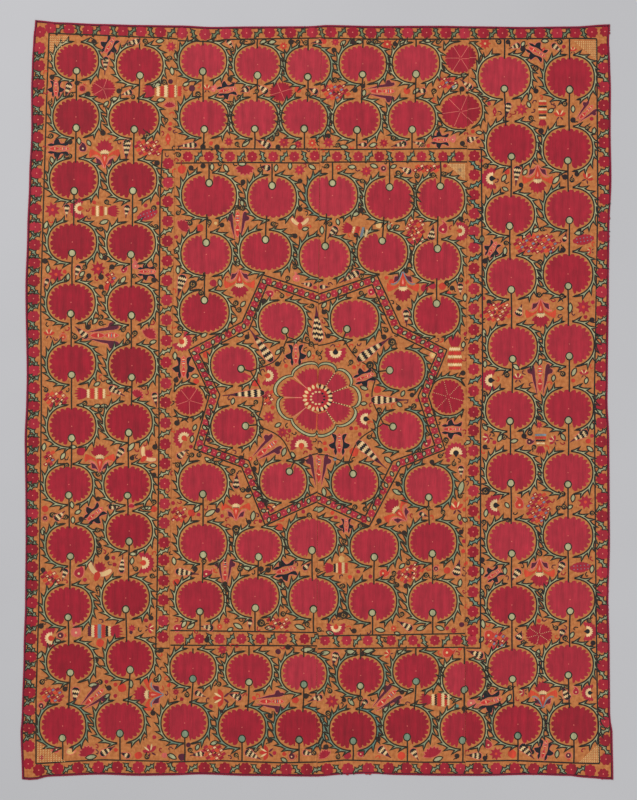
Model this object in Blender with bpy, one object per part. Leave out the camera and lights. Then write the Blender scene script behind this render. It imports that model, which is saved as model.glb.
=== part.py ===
"""Suzani textile, laid flat and face up: four loom-width strips of cloth joined by three long seams, and a narrow
woven braid sewn round the outer edge in four lengths.

Metres, +Z up. The cloth lies in the XY plane, its long side along Y, its underside at Z = 0. The origin is the
middle of the underside.
"""

import math

import bpy

MM = 0.001

CLOTH_THICKNESS = 2.0 * MM  # cotton ground with its couched silk
BRAID_THICKNESS = 3.0 * MM  # the braid is folded over the cloth's raw edge
BRAID_WIDTH = 7.0 * MM
GAP = 0.3 * MM  # left between pieces that are sewn together
POINT_SPACING = 26.0 * MM  # between two points of an outline

# The textile's outer edge, as uneven as it is. Each table gives where the edge passes, in millimetres.
# Long sides: height, left edge x, right edge x.
SIDE_STATIONS = (
    (-1165, -905.5, 910.0),
    (-1010, -910.0, 907.5),
    (-975, -906.0, 900.0),
    (-765, -900.5, 898.5),
    (-615, -896.0, 895.0),
    (-430, -894.5, 899.5),
    (-305, -895.0, 898.5),
    (-120, -897.5, 897.5),
    (0, -892.5, 892.0),
    (65, -891.0, 893.0),
    (340, -895.0, 896.0),
    (520, -889.5, 897.5),
    (680, -883.5, 904.0),
    (830, -877.0, 901.5),
    (955, -877.5, 902.5),
    (1035, -875.0, 900.0),
    (1105, -871.0, 896.5),
    (1165, -865.0, 901.0),
)
# Top end: x, height.
TOP_STATIONS = (
    (-865, 1167.0),
    (-790, 1160.0),
    (-665, 1155.0),
    (-545, 1152.0),
    (-420, 1150.5),
    (-320, 1146.0),
    (-205, 1147.5),
    (-20, 1148.0),
    (25, 1152.0),
    (180, 1149.0),
    (380, 1149.5),
    (470, 1148.0),
    (640, 1146.0),
    (790, 1147.5),
    (895, 1154.0),
)
# Bottom end: x, height.
BOTTOM_STATIONS = (
    (-905, -1163.0),
    (-875, -1167.0),
    (-820, -1155.0),
    (-665, -1149.5),
    (-545, -1153.0),
    (-450, -1152.0),
    (-360, -1149.0),
    (-205, -1153.5),
    (0, -1155.5),
    (85, -1149.0),
    (165, -1146.5),
    (250, -1151.0),
    (380, -1153.0),
    (500, -1153.5),
    (655, -1150.5),
    (775, -1153.5),
    (825, -1159.5),
    (905, -1165.0),
)
# Seams: height, then the x of the first, second and third seam.
SEAM_STATIONS = (
    (-1155, -453, 0, 455),
    (-765, -453, 0, 455),
    (0, -445, 3, 458),
    (770, -436, 8, 461),
    (1150, -427, 14, 469),
)

GROUND_COLOUR = (0.55, 0.24, 0.06, 1.0)
BRAID_COLOUR = (0.16, 0.01, 0.03, 1.0)


def ease(share):
    """0 to 1, level at both ends, so that an edge swings softly from station to station."""
    return share * share * (3.0 - 2.0 * share)


def station(table, at, column):
    """The table's column at this place, in metres, eased between the two stations on either side."""
    if at <= table[0][0] * MM:
        return table[0][column] * MM
    for low, high in zip(table, table[1:]):
        start, end = low[0] * MM, high[0] * MM
        if at <= end:
            share = ease((at - start) / (end - start))
            return (low[column] + (high[column] - low[column]) * share) * MM
    return table[-1][column] * MM


def edge_line(table, column):
    """The edge as straight steps between shared places, so that the two pieces along it keep their gap."""

    def line(at):
        step = math.floor(at / POINT_SPACING)
        share = at / POINT_SPACING - step
        start = station(table, step * POINT_SPACING, column)
        end = station(table, (step + 1) * POINT_SPACING, column)
        return start + (end - start) * share

    return line


LEFT_EDGE = edge_line(SIDE_STATIONS, 1)
RIGHT_EDGE = edge_line(SIDE_STATIONS, 2)
TOP_EDGE = edge_line(TOP_STATIONS, 1)
BOTTOM_EDGE = edge_line(BOTTOM_STATIONS, 1)


def moved(edge, distance):
    """The same edge, this far further along X or Y."""
    return lambda at: edge(at) + distance


def corner(side, end):
    """Where a side, x as a function of height, crosses an end, height as a function of x."""
    x, height = side(0.0), end(side(0.0))
    for _ in range(8):
        x = side(height)
        height = end(x)
    return x, height


def places(start, end):
    """The start, then the shared places between it and the end, in that order."""
    low, high = sorted((start, end))
    steps = range(math.floor(low / POINT_SPACING) + 1, math.ceil(high / POINT_SPACING))
    between = [step * POINT_SPACING for step in steps]
    return [start] + (between if end > start else between[::-1])


def outline(left, right, bottom, top):
    """The points round a piece that lies between four edges, anticlockwise from its lower left corner."""
    low_left, low_right = corner(left, bottom), corner(right, bottom)
    high_right, high_left = corner(right, top), corner(left, top)
    return (
        [(x, bottom(x)) for x in places(low_left[0], low_right[0])]
        + [(right(y), y) for y in places(low_right[1], high_right[1])]
        + [(x, top(x)) for x in places(high_right[0], high_left[0])]
        + [(left(y), y) for y in places(high_left[1], low_left[1])]
    )


def cloth_material(name, colour, roughness):
    material = bpy.data.materials.new(name)
    material.use_nodes = True
    shader = material.node_tree.nodes["Principled BSDF"]
    shader.inputs["Base Color"].default_value = colour
    shader.inputs["Roughness"].default_value = roughness
    shader.inputs["Metallic"].default_value = 0.0
    return material


def flat_piece(name, points, thickness, material, collection):
    """A flat sheet of this outline and thickness, its underside on the ground."""
    curve = bpy.data.curves.new(name, "CURVE")
    curve.dimensions = "2D"
    curve.fill_mode = "BOTH"
    curve.extrude = thickness / 2
    spline = curve.splines.new("POLY")
    spline.points.add(len(points) - 1)
    for point, (x, y) in zip(spline.points, points):
        point.co = (x, y, 0.0, 1.0)
    spline.use_cyclic_u = True
    curve.materials.append(material)
    piece = bpy.data.objects.new(name, curve)
    piece.location.z = thickness / 2
    collection.objects.link(piece)
    return piece


def make_panels(collection):
    """The four strips, each held in by the braid on its outer edges and by its neighbours at the seams."""
    material = cloth_material("ground_cloth", GROUND_COLOUR, 0.85)
    inside = BRAID_WIDTH + GAP
    seams = [edge_line(SEAM_STATIONS, number) for number in (1, 2, 3)]
    lefts = [moved(LEFT_EDGE, inside)] + [moved(line, GAP / 2) for line in seams]
    rights = [moved(line, -GAP / 2) for line in seams] + [moved(RIGHT_EDGE, -inside)]
    for number, (left, right) in enumerate(zip(lefts, rights), start=1):
        points = outline(left, right, moved(BOTTOM_EDGE, inside), moved(TOP_EDGE, -inside))
        flat_piece(f"panel_{number}", points, CLOTH_THICKNESS, material, collection)


def make_binding(collection):
    """The braid: two lengths down the sides, and two across the ends between them."""
    material = cloth_material("edge_braid", BRAID_COLOUR, 0.7)
    inner_left = moved(LEFT_EDGE, BRAID_WIDTH)
    inner_right = moved(RIGHT_EDGE, -BRAID_WIDTH)
    end_left = moved(inner_left, GAP)
    end_right = moved(inner_right, -GAP)
    lengths = {
        "binding_left": (LEFT_EDGE, inner_left, BOTTOM_EDGE, TOP_EDGE),
        "binding_right": (inner_right, RIGHT_EDGE, BOTTOM_EDGE, TOP_EDGE),
        "binding_top": (end_left, end_right, moved(TOP_EDGE, -BRAID_WIDTH), TOP_EDGE),
        "binding_bottom": (end_left, end_right, BOTTOM_EDGE, moved(BOTTOM_EDGE, BRAID_WIDTH)),
    }
    for name, edges in lengths.items():
        flat_piece(name, outline(*edges), BRAID_THICKNESS, material, collection)


def main():
    for obj in list(bpy.data.objects):
        bpy.data.objects.remove(obj, do_unlink=True)
    collection = bpy.data.collections.new("suzani_textile")
    bpy.context.scene.collection.children.link(collection)
    make_panels(collection)
    make_binding(collection)


main()
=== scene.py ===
"""The looks of the suzani: handwoven ochre cloth, couched silk embroidery in low relief, and a woven braid.

The embroidery is laid out on a chart whose step is one pixel of the 637 x 800 photograph, about 3 mm on the
cloth. Chart x runs to the right and chart y runs down. A motif is drawn in its own frame, in chart steps, x
to the right and y up, and is then set in its place on the cloth.
"""

import math

import bmesh
import bpy
import numpy as np
from mathutils.geometry import tessellate_polygon
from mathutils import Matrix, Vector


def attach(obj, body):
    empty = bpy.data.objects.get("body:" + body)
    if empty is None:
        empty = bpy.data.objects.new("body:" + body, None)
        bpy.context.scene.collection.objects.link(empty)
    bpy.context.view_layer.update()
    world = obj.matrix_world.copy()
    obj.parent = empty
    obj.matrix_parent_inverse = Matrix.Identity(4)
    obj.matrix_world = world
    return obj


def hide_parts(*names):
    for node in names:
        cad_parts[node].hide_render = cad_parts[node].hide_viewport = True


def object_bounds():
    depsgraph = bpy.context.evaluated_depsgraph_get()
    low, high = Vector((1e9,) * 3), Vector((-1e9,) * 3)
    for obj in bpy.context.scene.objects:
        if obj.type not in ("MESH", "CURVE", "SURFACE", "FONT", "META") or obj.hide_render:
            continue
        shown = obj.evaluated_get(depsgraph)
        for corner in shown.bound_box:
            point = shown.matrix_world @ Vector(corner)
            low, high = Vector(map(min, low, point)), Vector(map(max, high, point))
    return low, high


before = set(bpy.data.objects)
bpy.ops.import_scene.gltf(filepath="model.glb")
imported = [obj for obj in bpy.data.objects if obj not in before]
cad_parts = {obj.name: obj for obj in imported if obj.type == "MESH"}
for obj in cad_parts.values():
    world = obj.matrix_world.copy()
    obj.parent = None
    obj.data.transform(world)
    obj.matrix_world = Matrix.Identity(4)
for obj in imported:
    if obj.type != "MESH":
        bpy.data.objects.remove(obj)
cad_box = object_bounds()

MM = 0.001
PHOTO_WIDTH, PHOTO_HEIGHT = 637, 800

# The chart, fitted to the CAD box: the cloth's outermost edges, in chart steps.
CHART_LEFT, CHART_RIGHT = 20.5, 613.4
CHART_TOP, CHART_BOTTOM = 20.2, 780.2
STEP = (cad_box[1][0] - cad_box[0][0]) / (CHART_RIGHT - CHART_LEFT)
CHART_X = (CHART_LEFT + CHART_RIGHT) / 2
CHART_Y = (CHART_TOP + CHART_BOTTOM) / 2
SEAMS = 3
PANELS = SEAMS + 1

# Heights of the stitching over the cloth.
CLOTH_TOP = 2.0 * MM
RIPPLE, SWELL = 0.22 * MM, 0.3 * MM  # of the cloth's upper face
STITCH_ROOT = -0.25 * MM
FILL_HEIGHT = 0.55 * MM
LINE_HEIGHT = 0.8 * MM
RAISED = FILL_HEIGHT + 0.32 * MM  # of a shape stitched over another
EDGING_HEIGHT = 0.45 * MM  # of the pink lines that edge a flower
MITRE_LIMIT = 0.55  # cosine of the sharpest turn that a line's mitre still follows
SHOULDER = 0.3  # chart steps from a filled shape's foot to its flat top
OUTLINE = 1.65  # width of a drawn line, in chart steps
LINE_CROWN = 0.72  # how much of a line's width is its flat top
SQUARENESS = 2.3  # of the discs: 2 is an ellipse
EDGE_SAMPLES = 240  # places at which a narrow piece is measured
SHARP_ANGLE = 1.0  # radians between two faces, over which their shared edge is a rim

rng = np.random.default_rng(11)


# Colours

def srgb(red, green, blue):
    """A colour of 0 to 255 as Blender's linear RGBA."""
    channels = []
    for value in (red, green, blue):
        share = value / 255
        channels.append(share / 12.92 if share <= 0.04045 else ((share + 0.055) / 1.055) ** 2.4)
    return (*channels, 1.0)


# Each silk's colours from tone 0 to tone 1.
SILKS = {
    "crimson": (srgb(134, 6, 26), srgb(155, 14, 38), srgb(176, 42, 58)),
    "leaf": (
        srgb(178, 172, 128), srgb(136, 146, 112), srgb(96, 132, 118), srgb(116, 130, 140), srgb(104, 116, 64),
    ),
    "outline": (srgb(48, 38, 20), srgb(34, 28, 24), srgb(14, 16, 24)),
    "plum": (srgb(100, 24, 48), srgb(86, 22, 44), srgb(64, 16, 36)),
    "orange": (srgb(214, 92, 48), srgb(202, 62, 38), srgb(184, 40, 36)),
    "cream": (srgb(226, 192, 140), srgb(216, 172, 108), srgb(202, 148, 80)),
    "pink": (srgb(226, 132, 110), srgb(214, 104, 92), srgb(196, 84, 78)),
}


# The cloth's own outline, read from the frame

class Edges:
    """Where one CAD piece begins and ends along x and y. A narrow piece is measured across at each place."""

    def __init__(self, node, narrow=False):
        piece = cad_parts[node]
        shape = bmesh.new()
        shape.from_mesh(piece.data)
        shape.transform(piece.matrix_world)
        bmesh.ops.remove_doubles(shape, verts=shape.verts, dist=0.01 * MM)
        rim = [
            edge for edge in shape.edges
            if len(edge.link_faces) != 2 or edge.calc_face_angle(0.0) > SHARP_ANGLE
        ]
        points = np.array([tuple(vertex.co) for vertex in shape.verts])
        self.segments = np.array([[tuple(vertex.co) for vertex in edge.verts] for edge in rim])[:, :, :2]
        shape.free()
        self.low, self.high = points.min(axis=0), points.max(axis=0)
        if narrow:
            self.sides, self.tops = self.sampled(1), self.sampled(0)
        else:
            self.sides = [line[:, ::-1].T for line in self.ends(0)]
            self.tops = [line.T for line in self.ends(1)]

    def sampled(self, axis):
        """Places along this axis, and the piece's lowest and highest value across it at each."""
        margin = 3 * MM
        start, end = self.segments[:, 0], self.segments[:, 1]
        run = np.abs(end - start)
        steep = run[:, axis] > 1.2 * run[:, 1 - axis]
        start, end = start[steep], end[steep]
        places = np.linspace(
            max(self.low[axis], np.minimum(start, end)[:, axis].min()) + margin,
            min(self.high[axis], np.maximum(start, end)[:, axis].max()) - margin,
            EDGE_SAMPLES,
        )
        kept, lows, highs = [], [], []
        for place in places:
            crossed = (np.minimum(start[:, axis], end[:, axis]) <= place) & (
                np.maximum(start[:, axis], end[:, axis]) >= place
            )
            if not crossed.any():
                continue
            a, b = start[crossed], end[crossed]
            length = b[:, axis] - a[:, axis]
            share = (place - a[:, axis]) / np.where(length == 0, 1, length)
            share = np.where(np.abs(length) < 1e-9, 0.0, share)
            across = a[:, 1 - axis] + (b[:, 1 - axis] - a[:, 1 - axis]) * share
            if across.max() - across.min() > MM:
                kept.append(place)
                lows.append(across.min())
                highs.append(across.max())
        return (np.array(kept), np.array(lows)), (np.array(kept), np.array(highs))

    def ends(self, axis):
        """The low and the high end of a piece that runs along this axis, each as points from side to side."""
        start, end = self.segments[:, 0], self.segments[:, 1]
        run = np.abs(end - start)
        middle = (self.low[axis] + self.high[axis]) / 2
        for side in (-1, 1):
            chosen = (run[:, axis] < run[:, 1 - axis]) & ((start[:, axis] - middle) * side > 0)
            points = np.vstack((start[chosen], end[chosen]))
            yield points[np.argsort(points[:, 1 - axis])]

    def left(self, y):
        return np.interp(y, *self.sides[0])

    def right(self, y):
        return np.interp(y, *self.sides[1])

    def bottom(self, x):
        return np.interp(x, *self.tops[0])

    def top(self, x):
        return np.interp(x, *self.tops[1])


panel_edges = [Edges(f"panel_{number}") for number in range(1, PANELS + 1)]


def on_cloth(points):
    """Chart points as metres."""
    points = np.asarray(points, float)
    return np.column_stack(((points[:, 0] - CHART_X) * STEP, (CHART_Y - points[:, 1]) * STEP))


def cloth_surface(x, y):
    """The cloth's upper face: it lies flat, drawn up a little by its stitches."""
    ripple = np.sin(x * 41.0 + np.sin(y * 17.0)) * np.sin(y * 37.0 + 1.3 * np.sin(x * 23.0))
    swell = np.sin(x * 9.0 + 2.0 * y) * np.sin(y * 7.0 - 1.5 * x)
    return CLOTH_TOP + RIPPLE * ripple + SWELL * swell


# Stitching: raised shapes, collected by colour

stitches = {colour: [] for colour in SILKS}


def add_shape(colour, world, heights, triangles, tone, smooth):
    """Keeps one shape. world is x and y in metres, and heights are over the cloth."""
    rows = np.column_stack((world, heights, np.full(len(world), tone, float)))
    stitches[colour].append((rows, np.asarray(triangles, np.int32), smooth))


def neighbours(points, closed):
    """Each point's unit normal, to the left of the way the path runs, and its mitre."""
    if closed:
        before, after = np.roll(points, 1, axis=0), np.roll(points, -1, axis=0)
    else:
        before = np.vstack((2 * points[0] - points[1], points[:-1]))
        after = np.vstack((points[1:], 2 * points[-1] - points[-2]))
    into, out = points - before, after - points
    into /= np.maximum(np.linalg.norm(into, axis=1), 1e-9)[:, None]
    out /= np.maximum(np.linalg.norm(out, axis=1), 1e-9)[:, None]
    along = into + out
    length = np.linalg.norm(along, axis=1)
    along = np.where(length[:, None] < 1e-6, out, along / np.maximum(length, 1e-9)[:, None])
    normals = np.column_stack((-along[:, 1], along[:, 0]))
    out_normals = np.column_stack((-out[:, 1], out[:, 0]))
    mitre = 1 / np.clip((normals * out_normals).sum(axis=1), MITRE_LIMIT, 1)
    return normals, mitre


def area(points):
    """The area inside an outline, below 0 where it runs clockwise."""
    x, y = points[:, 0], points[:, 1]
    return 0.5 * float(np.sum(x * np.roll(y, -1) - np.roll(x, -1) * y))


class Motif:
    """A place on the chart where something is stitched: turned by degrees, resized, and mirrored by flip."""

    def __init__(self, x, y, turn=0.0, size=1.0, flip=False, tone=0.5):
        angle = math.radians(turn)
        mirror = -1.0 if flip else 1.0
        self.place = np.array((x, y), float)
        self.axis_x = np.array((math.cos(angle), -math.sin(angle))) * size * mirror
        self.axis_y = np.array((-math.sin(angle), -math.cos(angle))) * size
        self.tone = tone

    def put(self, points):
        points = np.asarray(points, float)
        return on_cloth(self.place + points[:, :1] * self.axis_x + points[:, 1:2] * self.axis_y)

    def fill(self, colour, outline, tone=None, height=FILL_HEIGHT, shoulder=SHOULDER):
        """A shape filled with couched silk, which rises over its shoulder to a flat top."""
        world = self.put(outline)
        if area(world) < 0:
            world = world[::-1]
        normals, mitre = neighbours(world, True)
        top = world + normals * (mitre * shoulder * STEP)[:, None]
        count = len(world)
        ring = np.arange(count)
        after = np.roll(ring, -1)
        faces = []
        for a, b, c in tessellate_polygon([[(x, y, 0.0) for x, y in top]]):
            along, over = top[b] - top[a], top[c] - top[a]
            side = along[0] * over[1] - along[1] * over[0]
            if side:
                faces.append((a, b, c) if side > 0 else (a, c, b))
        triangles = np.vstack((
            np.column_stack((ring, after, after + count)),
            np.column_stack((ring, after + count, ring + count)),
            np.array(faces, np.int32).reshape(-1, 3) + count,
        ))
        heights = np.concatenate((np.full(count, STITCH_ROOT), np.full(count, height)))
        tone = self.tone if tone is None else tone
        add_shape(colour, np.vstack((world, top)), heights, triangles, tone, False)

    def raised(self, colour, outline, tone, shoulder=0.15, lift=0.0):
        """A shape stitched over another."""
        self.fill(colour, outline, tone, RAISED + lift, shoulder)

    def line(self, colour, path, width=OUTLINE, closed=False, tone=None, height=LINE_HEIGHT, taper=False):
        """A rounded line of chain stitch along a path."""
        world = self.put(path)
        normals, mitre = neighbours(world, closed)
        count = len(world)
        half = np.full(count, width * STEP / 2)
        if taper:
            half *= np.sin(np.linspace(0.12, 0.88, count) * math.pi)
        side = normals * (mitre * half)[:, None]
        rows = np.vstack((world + side, world + side * LINE_CROWN, world - side * LINE_CROWN, world - side))
        heights = np.repeat((STITCH_ROOT, height, height, STITCH_ROOT), count)
        start = np.arange(count if closed else count - 1)
        end = (start + 1) % count
        triangles = []
        for low, high in ((0, count), (count, 2 * count), (2 * count, 3 * count)):
            triangles.append(np.column_stack((start + low, start + high, end + high)))
            triangles.append(np.column_stack((start + low, end + high, end + low)))
        tone = self.tone if tone is None else tone
        add_shape(colour, rows, heights, np.vstack(triangles), tone, True)

    def edging(self, colour, outline, width, tone, height=EDGING_HEIGHT):
        """A low line round a flower's outline."""
        self.line(colour, outline, width, closed=True, tone=tone, height=height)


# Outlines in chart steps

def round_shape(x, y, across, up=None, points=12):
    up = across if up is None else up
    turn = np.linspace(0, 2 * math.pi, points, endpoint=False)
    return np.column_stack((x + across * np.cos(turn), y + up * np.sin(turn)))


def superellipse(across, up, turn, squareness=SQUARENESS):
    """Points round a disc that is a little squarer than an ellipse."""
    over, rise = np.cos(turn), np.sin(turn)
    power = 2 / squareness
    return np.column_stack(
        (across * np.sign(over) * np.abs(over) ** power, up * np.sign(rise) * np.abs(rise) ** power)
    )


def scallops(across, up, count, depth, points=5, sharpness=0.6, start=0.0, squareness=2.0):
    """A round shape with this many scallops, its notches this deep."""
    turn = start + np.linspace(0, 2 * math.pi, count * points, endpoint=False)
    notch = 1 - np.abs(np.sin((turn - start) * count / 2)) ** sharpness
    shrink = 1 - depth * notch / ((across + up) / 2)
    return superellipse(across, up, turn, squareness) * shrink[:, None]


def almond(x, y, length, width, points=5):
    """A leaf lying along x, with a point at each end."""
    along = np.linspace(-1, 1, 2 * points + 1)
    half = width / 2 * (1 - along**2) ** 0.8
    upper = np.column_stack((x + along * length / 2, y + half))
    lower = np.column_stack((x + along * length / 2, y - half))
    return np.vstack((upper, lower[-2:0:-1]))


def span(a, b, c, d, steps):
    """Places from b up to c on a smooth path that comes from a and goes on to d."""
    return [
        0.5 * (2 * b + (c - a) * t + (2 * a - 5 * b + 4 * c - d) * t**2 + (3 * b - a - 3 * c + d) * t**3)
        for t in np.linspace(0, 1, steps, endpoint=False)
    ]


def curve(points, steps=6):
    """A smooth path through a few points."""
    points = np.asarray(points, float)
    padded = np.vstack((2 * points[0] - points[1], points, 2 * points[-1] - points[-2]))
    path = []
    for i in range(1, len(padded) - 2):
        path += span(*padded[i - 1 : i + 3], steps)
    return np.array(path + [points[-1]])


def ring_curve(points, steps=2):
    """A smooth closed outline through a few points."""
    points = np.asarray(points, float)
    path = []
    for i in range(len(points)):
        path += span(*(points[(i + k) % len(points)] for k in (-1, 0, 1, 2)), steps)
    return np.array(path)


def toothed_arc(across, up, start, end, teeth, depth, y=0.0):
    """Teeth along an arc, their tips on it and their notches this much nearer its middle."""
    turn = np.radians(np.linspace(start, end, 2 * teeth + 1))
    reach = np.where(np.arange(2 * teeth + 1) % 2, 1.0, 1 - depth)
    return np.column_stack((across * np.cos(turn) * reach, y + up * np.sin(turn) * reach))


def zigzag_block(left, right, half, teeth):
    """A serrated bar across y, its teeth pointing along x."""
    y = np.linspace(-half, half, 2 * teeth + 1)
    tooth = (np.arange(2 * teeth + 1) % 2) * 0.9
    first = np.column_stack((left - tooth, y))
    second = np.column_stack((right - tooth, y))
    return np.vstack((first, second[::-1]))


# One thorn of a leafy arm: how far along its pitch, and how far out from the arm's outer line.
THORN = ((0.0, 0.0), (2.2, 0.5), (4.0, 1.6), (6.8, 4.1), (5.7, 1.3), (4.9, 0.0))
THORN_PITCH = 8.0


def frond(motif, spine, pitch, tone, line_tone, band=2.1, thorn=1.0):
    """A leafy arm along a spine, with thorns that lean forward from its outer edge."""
    spine = np.asarray(spine, float)
    lengths = np.concatenate(([0], np.cumsum(np.linalg.norm(np.diff(spine, axis=0), axis=1))))
    total = lengths[-1]
    normals = neighbours(spine, False)[0]

    def at(along, out):
        along = np.asarray(along, float)
        over = np.maximum(along - total, 0)
        base = np.column_stack([np.interp(along, lengths, spine[:, i]) for i in (0, 1)])
        normal = np.column_stack([np.interp(along, lengths, normals[:, i]) for i in (0, 1)])
        last = (spine[-1] - spine[-2]) / max(np.linalg.norm(spine[-1] - spine[-2]), 1e-9)
        return base + normal * np.asarray(out, float)[:, None] + last * over[:, None]

    def breadth(along):
        near = np.minimum(along, total - along) / (3.0 + 0.05 * total)
        return band * np.clip(0.45 + 0.55 * near, 0.45, 1)

    inner_along = np.linspace(0, total, max(4, int(total / 3.0)))
    along, out = [0.0], [breadth(0.0)]
    start = 0.6
    while start + 0.8 * pitch < total:
        stretch = pitch / THORN_PITCH * (0.92 + 0.16 * rng.random())
        size = thorn * (0.95 + 0.3 * rng.random())
        for step, rise in THORN:
            along.append(start + step * stretch)
            out.append(breadth(start + step * stretch) + rise * size)
        start += THORN_PITCH * stretch
    along.append(total)
    out.append(breadth(total))
    outer = at(along, out)
    tip = at([total + band * 0.9], [breadth(total) * 0.5])
    outline = np.vstack((at(inner_along, np.zeros(len(inner_along))), tip, outer[::-1]))
    motif.fill("leaf", outline, tone, shoulder=0.2)
    motif.line("outline", outline, OUTLINE, closed=True, tone=line_tone)


# Motifs

WREATH_GAP = 1.9  # from a disc's rim to the wreath's inner line
BUTTON_RADIUS = 3.3
DISC_SPREAD = 1.045  # from the tables' sizes to the tips of the scallops
HALO_RADIUS = 4.1  # of the ground left bare round a button
HALO_OFFSET = 0.7  # of its middle, outwards from the button's
HALO_MOUTH = 4.2  # half the opening that it leaves in the disc's rim
FINE_TEETH, PLAIN_TEETH = (27, 2.3), (23, 2.7)  # scallops round a disc, and how deep they are
BUTTON_LIFT = 0.25 * MM  # of a button over a disc's height
BLUER_FROM_Y, BLUER_TO_X = 655, 560  # the lower part of the cloth, where most buttons are bluer
BLUER = 0.3  # how much higher their tone is
ARM_SWEEPS = ((-94, -258), (82, -74))  # where a wreath's two arms start and end, in degrees


def roundel(x, y, across, up, button, tone, fine, leaf_tone, line_tone, mouth=HALO_MOUTH):
    """A crimson disc with a green button near its rim, in a wreath of two serrated arms."""
    motif = Motif(x, y, tone=tone)
    across, up = across * DISC_SPREAD, up * DISC_SPREAD
    teeth, depth = FINE_TEETH if fine else PLAIN_TEETH
    rim = scallops(across, up, teeth, depth, start=rng.random(), squareness=SQUARENESS)
    reach = math.hypot(*button)
    towards = np.array(button) / reach
    sideways = np.array((-towards[1], towards[0]))
    cut = (np.abs(rim @ sideways) < mouth) & (rim @ towards > 0)
    first_cut = int(np.flatnonzero(cut & ~np.roll(cut, 1))[0])
    order = np.roll(np.arange(len(rim)), -first_cut)
    kept = rim[order][~cut[order]]
    gap = math.degrees(math.asin(min(0.9, mouth / HALO_RADIUS)))
    swing = np.radians(np.linspace(gap, 360 - gap, 13))
    bay = np.array([
        towards * (reach + HALO_OFFSET + HALO_RADIUS * math.cos(angle))
        + sideways * (HALO_RADIUS * math.sin(angle))
        for angle in swing
    ])
    if (kept[-1] - kept[0]) @ sideways < 0:
        bay = bay[::-1]
    motif.fill("crimson", np.vstack((kept, bay)))
    motif.raised("pink", round_shape(0, 0, 0.8, points=6), 0.6, 0.2)
    bluer = BLUER if y > BLUER_FROM_Y and x < BLUER_TO_X and int(x + y) % 4 else 0.0
    seat = Motif(x + button[0], y - button[1], tone=leaf_tone)
    knob = round_shape(0, 0, BUTTON_RADIUS, BUTTON_RADIUS * (1.0 + 0.15 * rng.random()), 14)
    seat.fill("leaf", knob, tone=0.1 * rng.random() + bluer, height=FILL_HEIGHT + BUTTON_LIFT)
    seat.line("outline", knob, OUTLINE, closed=True, tone=line_tone)
    ring_across, ring_up = across + WREATH_GAP, up + WREATH_GAP
    for start, end in ARM_SWEEPS:
        start += 5 * (rng.random() - 0.5)
        end += 8 * (rng.random() - 0.5)
        spine = superellipse(ring_across, ring_up, np.radians(np.linspace(start, end, 30)))
        shade = leaf_tone + 0.2 * (rng.random() - 0.5)
        frond(motif, spine, 6.5 + 1.1 * rng.random(), shade, line_tone)


def stem(x1, y1, x2, y2, tone):
    """A dark stem between two places on the chart, a little unsteady."""
    motif = Motif(0, 0, tone=tone)
    middle = ((x1 + x2) / 2 + 0.8 * (rng.random() - 0.5), (y1 + y2) / 2)
    path = curve(((x1, -y1), (middle[0], -middle[1]), (x2, -y2)), 4)
    motif.line("outline", path, OUTLINE)


def spoked(x, y, across, up, spokes, dotted, turn, arms):
    """A crimson round cut up by pale lines or by rows of cream dots, with short leafy arms about it."""
    motif = Motif(x, y, tone=0.5)
    rim = scallops(across, up, 24, 1.6)
    for start, end in arms:
        spine = superellipse(across + WREATH_GAP, up + WREATH_GAP, np.radians(np.linspace(start, end, 12)))
        frond(motif, spine, 6.2, leaf_tone(x, y), ink_tone(x), band=1.9, thorn=0.8)
    motif.fill("crimson", rim)
    for number in range(spokes):
        angle = math.radians(turn + number * 360 / spokes)
        way = np.array((across * math.cos(angle), up * math.sin(angle)))
        if dotted:
            for share in np.arange(0.16, 0.92, 1.9 / across):
                motif.raised("cream", round_shape(*(way * share), 0.55, points=5), 0.1)
        else:
            motif.line("pink", (way * 0.06, way * 0.5, way * 0.94), 0.6, tone=0.3)


def rosette(x, y, radius, tone=0.5, lobes=8):
    """A small border flower with a pale eye."""
    motif = Motif(x, y, turn=45 * rng.random(), tone=tone)
    rim = scallops(radius, radius, lobes, 1.1, points=4)
    motif.fill("crimson", rim)
    motif.raised("pink", round_shape(0, 0, 0.85, points=6), 0.2, 0.2)


BORDER_LEAF = (
    (0.0, 0.7), (2.6, 1.2), (4.0, 1.6), (5.4, 3.9), (5.9, 1.6), (8.0, 1.3), (9.6, 3.1), (10.2, 1.0),
    (13.0, 0.0), (10.6, -1.0), (8.8, -3.3), (8.0, -1.4), (5.6, -1.5), (3.6, -3.6), (3.2, -1.2), (0.0, -0.7),
)
BORDER_LEAF_LENGTH = 13.0


BORDER_LEAF_BEND = 0.8


def border_leaf(x1, y1, x2, y2, tone, line_tone, fatness=0.78):
    """A thorny leaf that runs across a border from the first place to the second."""
    length = math.hypot(x2 - x1, y2 - y1)
    motif = Motif(x1, y1, turn=math.degrees(math.atan2(y1 - y2, x2 - x1)), tone=tone)
    outline = np.array(BORDER_LEAF) * (length / BORDER_LEAF_LENGTH, fatness)
    outline[:, 1] += BORDER_LEAF_BEND * np.sin(outline[:, 0] / length * 2 * math.pi)
    motif.fill("leaf", outline, shoulder=0.2)
    motif.line("outline", outline, 1.35, closed=True, tone=line_tone)


def leaf(x, y, turn, length, tone, line_tone):
    """A plain outlined leaf."""
    motif = Motif(x, y, turn=turn, tone=tone)
    outline = almond(0, 0, length, 2.2 + 0.22 * length, 4)
    motif.fill("leaf", outline)
    motif.line("outline", outline, 1.3, closed=True, tone=line_tone)


CURL_TAIL = ((1.9, -0.4), (2.9, 0.6), (3.0, 2.2), (4.2, 3.4))


CURL_RADIUS = 2.2


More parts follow.
